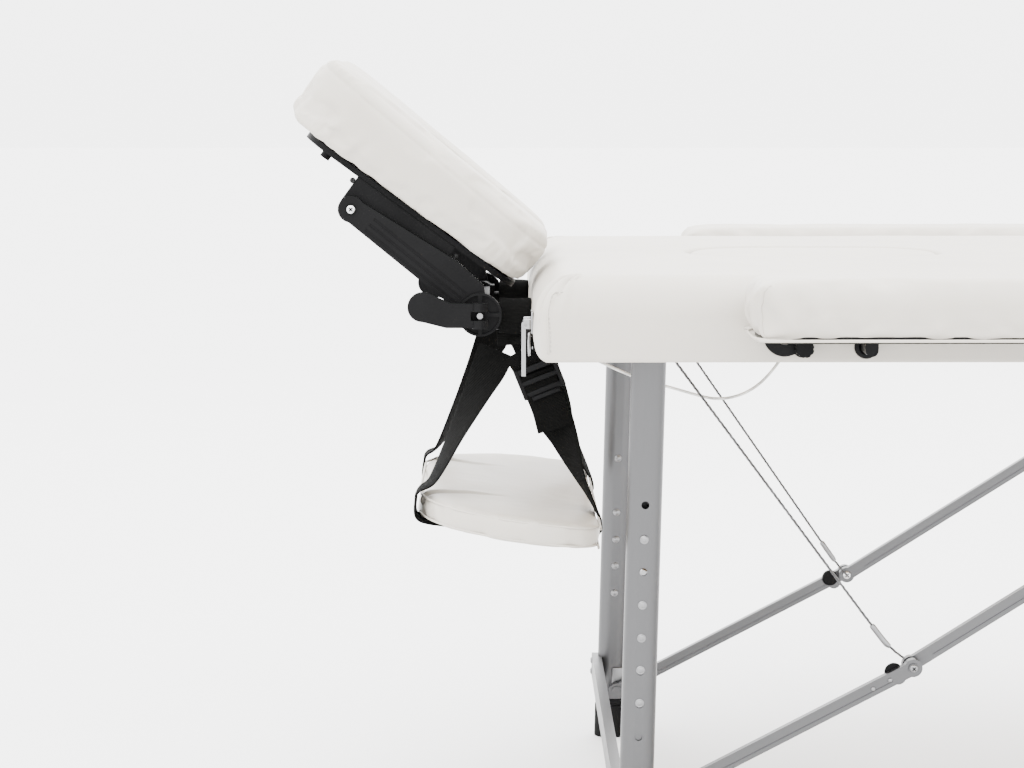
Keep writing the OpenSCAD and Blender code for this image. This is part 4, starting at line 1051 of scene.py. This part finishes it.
for half, bar_off, bar_down in (("head", -0.0240, 0.451), ("foot", -0.0180, 0.332)):
    for side in (-1, 1):
        tag = f"{half}_{side_tag(side)}"
        leg_y = side * LEG_Y[half]
        for k, dz in enumerate((-0.0065, 0.0065)):
            screw(f"crossbar_screw_{tag}_{k}", leg_pt(half, bar_off, leg_y, bar_down + dz), leg_out(half),
                  0.0042, f"{half}_legs")
        # bright bolt head in the leg bracket
        for s in (-1, 1):
            at = (from_end(half, LEG_U), leg_y + s * 0.0185, LEG_Z)
            screw(f"leg_bolt_{tag}_{'in' if s * side < 0 else 'out'}", at, (0, s, 0), 0.0056, f"{half}_section")
        # moulded collar at the bottom of the outer tube
        ring_pts = []
        for r, down in COLLAR:
            ring_pts.append([leg_pt(half, math.copysign(0.004, math.cos(t)) + r * math.cos(t),
                                    leg_y + r * math.sin(t), down)
                             for t in (2 * math.pi * (i + 0.5) / 56 for i in range(56))])
        collar = shade(loft(f"leg_collar_{tag}", ring_pts, PLASTIC, caps=False), 40)
        modify(collar, "SOLIDIFY", thickness=0.0006, offset=-1)
        attach(collar, f"{half}_legs", "black_plastic")

# knee screws and rivets, placed along each lower link from its foot at LINK_U, LINK_Z
LINK_U, LINK_Z = LEG_U - 0.00578, 0.06001
LINK_A = math.radians(27.82)
for half, y, thick in (("head", 0.238, 0.008), ("foot", 0.2845, 0.004)):
    for side in (-1, 1):
        tag = f"{half}_{side_tag(side)}"

        def on_link(d, lift):
            return (from_end(half, LINK_U + d * math.cos(LINK_A)), side * (y + thick / 2 + lift),
                    LINK_Z + d * math.sin(LINK_A))

        screw(f"knee_screw_{tag}", on_link(0.307, 0.0016), (0, side, 0), 0.0040, f"{half}_lower_links")
        for k, d in enumerate((0.262, 0.281)):
            screw(f"link_rivet_{tag}_{k}", on_link(d, 0), (0, side, 0), 0.0021, f"{half}_lower_links",
                  cross=False)

# stays: thin wire ropes of three plies with pressed sleeves
STAY_Y = {"head": 0.214, "foot": 0.262}
ROPE_STEPS = 241
PLY_R, PLY_OFF = 0.00085, 0.00075
SLEEVE_R = 0.0030
for half in ("head", "foot"):
    ropes = []
    for side, top_u, low_u in ((-1, 0.1130, 0.3647), (1, 0.1370, 0.3721)):
        y = side * STAY_Y[half]
        a, b = Vector((from_end(half, top_u), y, 0.5440)), Vector((from_end(half, low_u), y, KNEE_Z + 0.004))
        end = Vector((from_end(half, KNEE_U), y, KNEE_Z))
        bends = [a, a.lerp(b, 0.5), a.lerp(b, 0.90), a.lerp(b, 0.955).lerp(end, 0.25), end]
        way = [Vector(p) for p in smooth_path(bends, ROPE_STEPS)]
        for ply in range(3):
            twist = []
            for k, p in enumerate(way):
                t = k * 0.55 + ply * 2.0944
                twist.append((p.x + PLY_OFF * math.cos(t), p.y + PLY_OFF * math.sin(t), p.z))
            ropes.append(tube("strand", twist, PLY_R, WIRE, sides=7))
        for k0 in (4, 210):
            sleeve = [tuple(way[k0 + int(1.6 * i)]) for i in range(11)]
            radii = [SLEEVE_R * (0.78 if i in (0, 10) else 1.0) for i in range(11)]
            ropes.append(tube("sleeve", sleeve, radii, STEEL, sides=16))
    rope = join(f"{half}_stay_ropes", ropes)
    attach(shade(rope, 45), f"{half}_stays", "steel", f"{half}_stays")

KNEE_STOP = [(0.0001, 0.0044), (0.0070, 0.0044), (0.0088, 0.0036), (0.0094, 0.0018), (0.0094, -0.0004)]
for side in (-1, 1):
    tag = side_tag(side)
    # cross-head screw in zinc lightened by painted highlight, and small bracket on the inner face of each head
    # leg
    x, y, z = leg_pt("head", 0.0075, side * 0.2445, 0.4730)
    screw(f"leg_screw_{tag}", (x, y, z), (0, -side, 0), 0.0052, "head_legs", mat=HIGHLIT_ZINC)
    faces_y = sorted((y, side * 0.2467))
    clip = block(f"leg_clip_{tag}", (x - 0.0075, faces_y[0], z - 0.0075), (x + 0.0075, faces_y[1], z + 0.0235),
                 0.0009, STEEL)
    attach(clip, "head_legs", "steel")
    # plastic stop beside the knee, and the inner head of the knee's bolt in zinc lightened by painted highlight
    at = (HEAD_X + 0.3595, side * 0.2338, 0.1974)
    stop = lathe(f"knee_stop_{tag}", KNEE_STOP, at, (0, -side, 0), PLASTIC, sides=40)
    attach(stop, "head_lower_links", "black_plastic")
    screw(f"knee_bolt_inner_{tag}", (HEAD_X + KNEE_U, side * 0.2196, KNEE_Z), (0, -side, 0), 0.0046,
          "head_upper_links", mat=HIGHLIT_ZINC)

# capped adjustment holes on both faces of every leg tube
HOLE_CAP = [(0.0001, 0.0013), (0.0018, 0.0011), (0.0030, 0.0005), (0.0036, 0.0007), (0.0042, 0.0003),
            (0.0043, -0.0004)]
for half in ("head", "foot"):
    for side in (-1, 1):
        tag = f"{half}_{side_tag(side)}"
        for k, down in enumerate((0.1960, 0.2610, 0.2938, 0.3258, 0.3588)):
            for out in (-1, 1):
                at = leg_pt(half, 0, side * LEG_Y[half] + out * 0.0134, down)
                face = "in" if out * side < 0 else "out"
                cap = lathe(f"hole_cap_{tag}_{k}_{face}", HOLE_CAP, at, (0, out, 0), STEEL, sides=24)
                attach(cap, f"{half}_legs", "steel")

# cradle: pivot screws in zinc lightened by painted highlight, plate screws, and the bolt of the cam pin, seen
# in the lever's window
HUB_X, HUB_Z = HEAD_X - 0.053, 0.547
CAM_BOLT = [(0.0001, 0.0060), (0.0030, 0.0060), (0.0034, 0.0052), (0.0034, 0.0), (0.0001, 0.0)]
tip = cradle(0.082, 0, -0.036)
for side in (-1, 1):
    tag = side_tag(side)
    screw(f"cradle_pivot_{tag}", (tip.x, side * 0.1415, tip.z), (0, side, 0), 0.0044, "headrest_arms",
          mat=HIGHLIT_ZINC)
    for k, a in enumerate((0.066, 0.196)):
        at = tuple(cradle(a, side * 0.127, -0.012))
        screw(f"plate_screw_{tag}_{k}", at, (0, side, 0), 0.0030, "face_cradle", mat=COAT)
    nut = lathe(f"cam_bolt_{tag}", CAM_BOLT, (HUB_X, side * 0.1560, HUB_Z), (0, side, 0), STEEL, sides=24)
    attach(nut, "headrest_base", "steel")


# ---------- materials of the CAD pieces that stay ----------

looks = {
    PLY: ["head_side_rails", "head_cross_rails", "head_deck", "foot_side_rails", "foot_cross_rails",
          "foot_deck"],
    ALU: ["accessory_sockets", "head_leg_tubes", "foot_leg_tubes", "inner_leg_head_near", "inner_leg_head_far",
          "inner_leg_foot_near", "inner_leg_foot_far", "head_crossbar", "foot_crossbar", "head_lower_links",
          "head_upper_links", "foot_lower_links", "foot_upper_links"],
    COAT: ["head_leg_brackets", "head_link_brackets", "foot_leg_brackets", "foot_link_brackets",
           "armrest_near_frame", "armrest_far_frame"],
    STEEL: ["head_hinge_leaves", "foot_hinge_leaves"],
    PLASTIC: ["cord_clips", "headrest_base", "headrest_arms", "cradle_plate", "cam_lever_near", "cam_lever_far",
              "arm_knob_near", "arm_knob_far"],
    RUBBER: ["rubber_foot_head_near", "rubber_foot_head_far", "rubber_foot_foot_near", "rubber_foot_foot_far"],
    CHROME: ["button_head_near", "button_head_far", "button_foot_near", "button_foot_far", "latch_pull"],
}
for mat, names in looks.items():
    for n in names:
        for s in NODES[n].material_slots:
            s.material = mat


# ---------- floor and lights ----------

FLOOR = make_mat("floor", (0.66, 0.66, 0.66), 0.7, var=0.01, var_scale=2, bumps=[("NOISE", 40, 0.05, 0.001)])
corners = [(-30, -30, -0.0006), (30, -30, -0.0006), (30, 30, -0.0006), (-30, 30, -0.0006)]
floor = obj_from("floor", corners, [(0, 1, 2, 3)], FLOOR)

world = bpy.data.worlds.new("studio")
bpy.context.scene.world = world
world.use_nodes = True
bg = world.node_tree.nodes["Background"]
bg.inputs[0].default_value = (1.0, 1.0, 1.0, 1)
world_tree = world.node_tree
direction = world_tree.nodes.new("ShaderNodeTexCoord")
split = world_tree.nodes.new("ShaderNodeSeparateXYZ")
rise = world_tree.nodes.new("ShaderNodeMapRange")
rise.inputs["From Min"].default_value = 0.0
rise.inputs["From Max"].default_value = 0.9
rise.inputs["To Min"].default_value = 5.0
rise.inputs["To Max"].default_value = 9.0
world_tree.links.new(direction.outputs["Generated"], split.inputs[0])
world_tree.links.new(split.outputs["Z"], rise.inputs["Value"])
world_tree.links.new(rise.outputs[0], bg.inputs["Strength"])


def area(name, at, target, size, power):
    d = bpy.data.lights.new(name, "AREA")
    d.shape = "RECTANGLE"
    d.size, d.size_y = size
    d.energy = power
    o = bpy.data.objects.new(name, d)
    bpy.context.scene.collection.objects.link(o)
    o.location = at
    o.rotation_euler = (Vector(target) - Vector(at)).to_track_quat("-Z", "Y").to_euler()


area("key", (-2.4, -2.6, 3.0), (-0.5, 0, 0.45), (2.2, 1.8), 50)
area("fill", (2.6, -2.8, 1.6), (-0.2, 0, 0.4), (2.4, 1.8), 8)
area("top", (0.0, 0.6, 3.4), (0, 0, 0.5), (3.2, 2.2), 70)
area("back", (-1.0, 3.2, 2.0), (-0.2, 0, 0.5), (2.4, 1.6), 20)
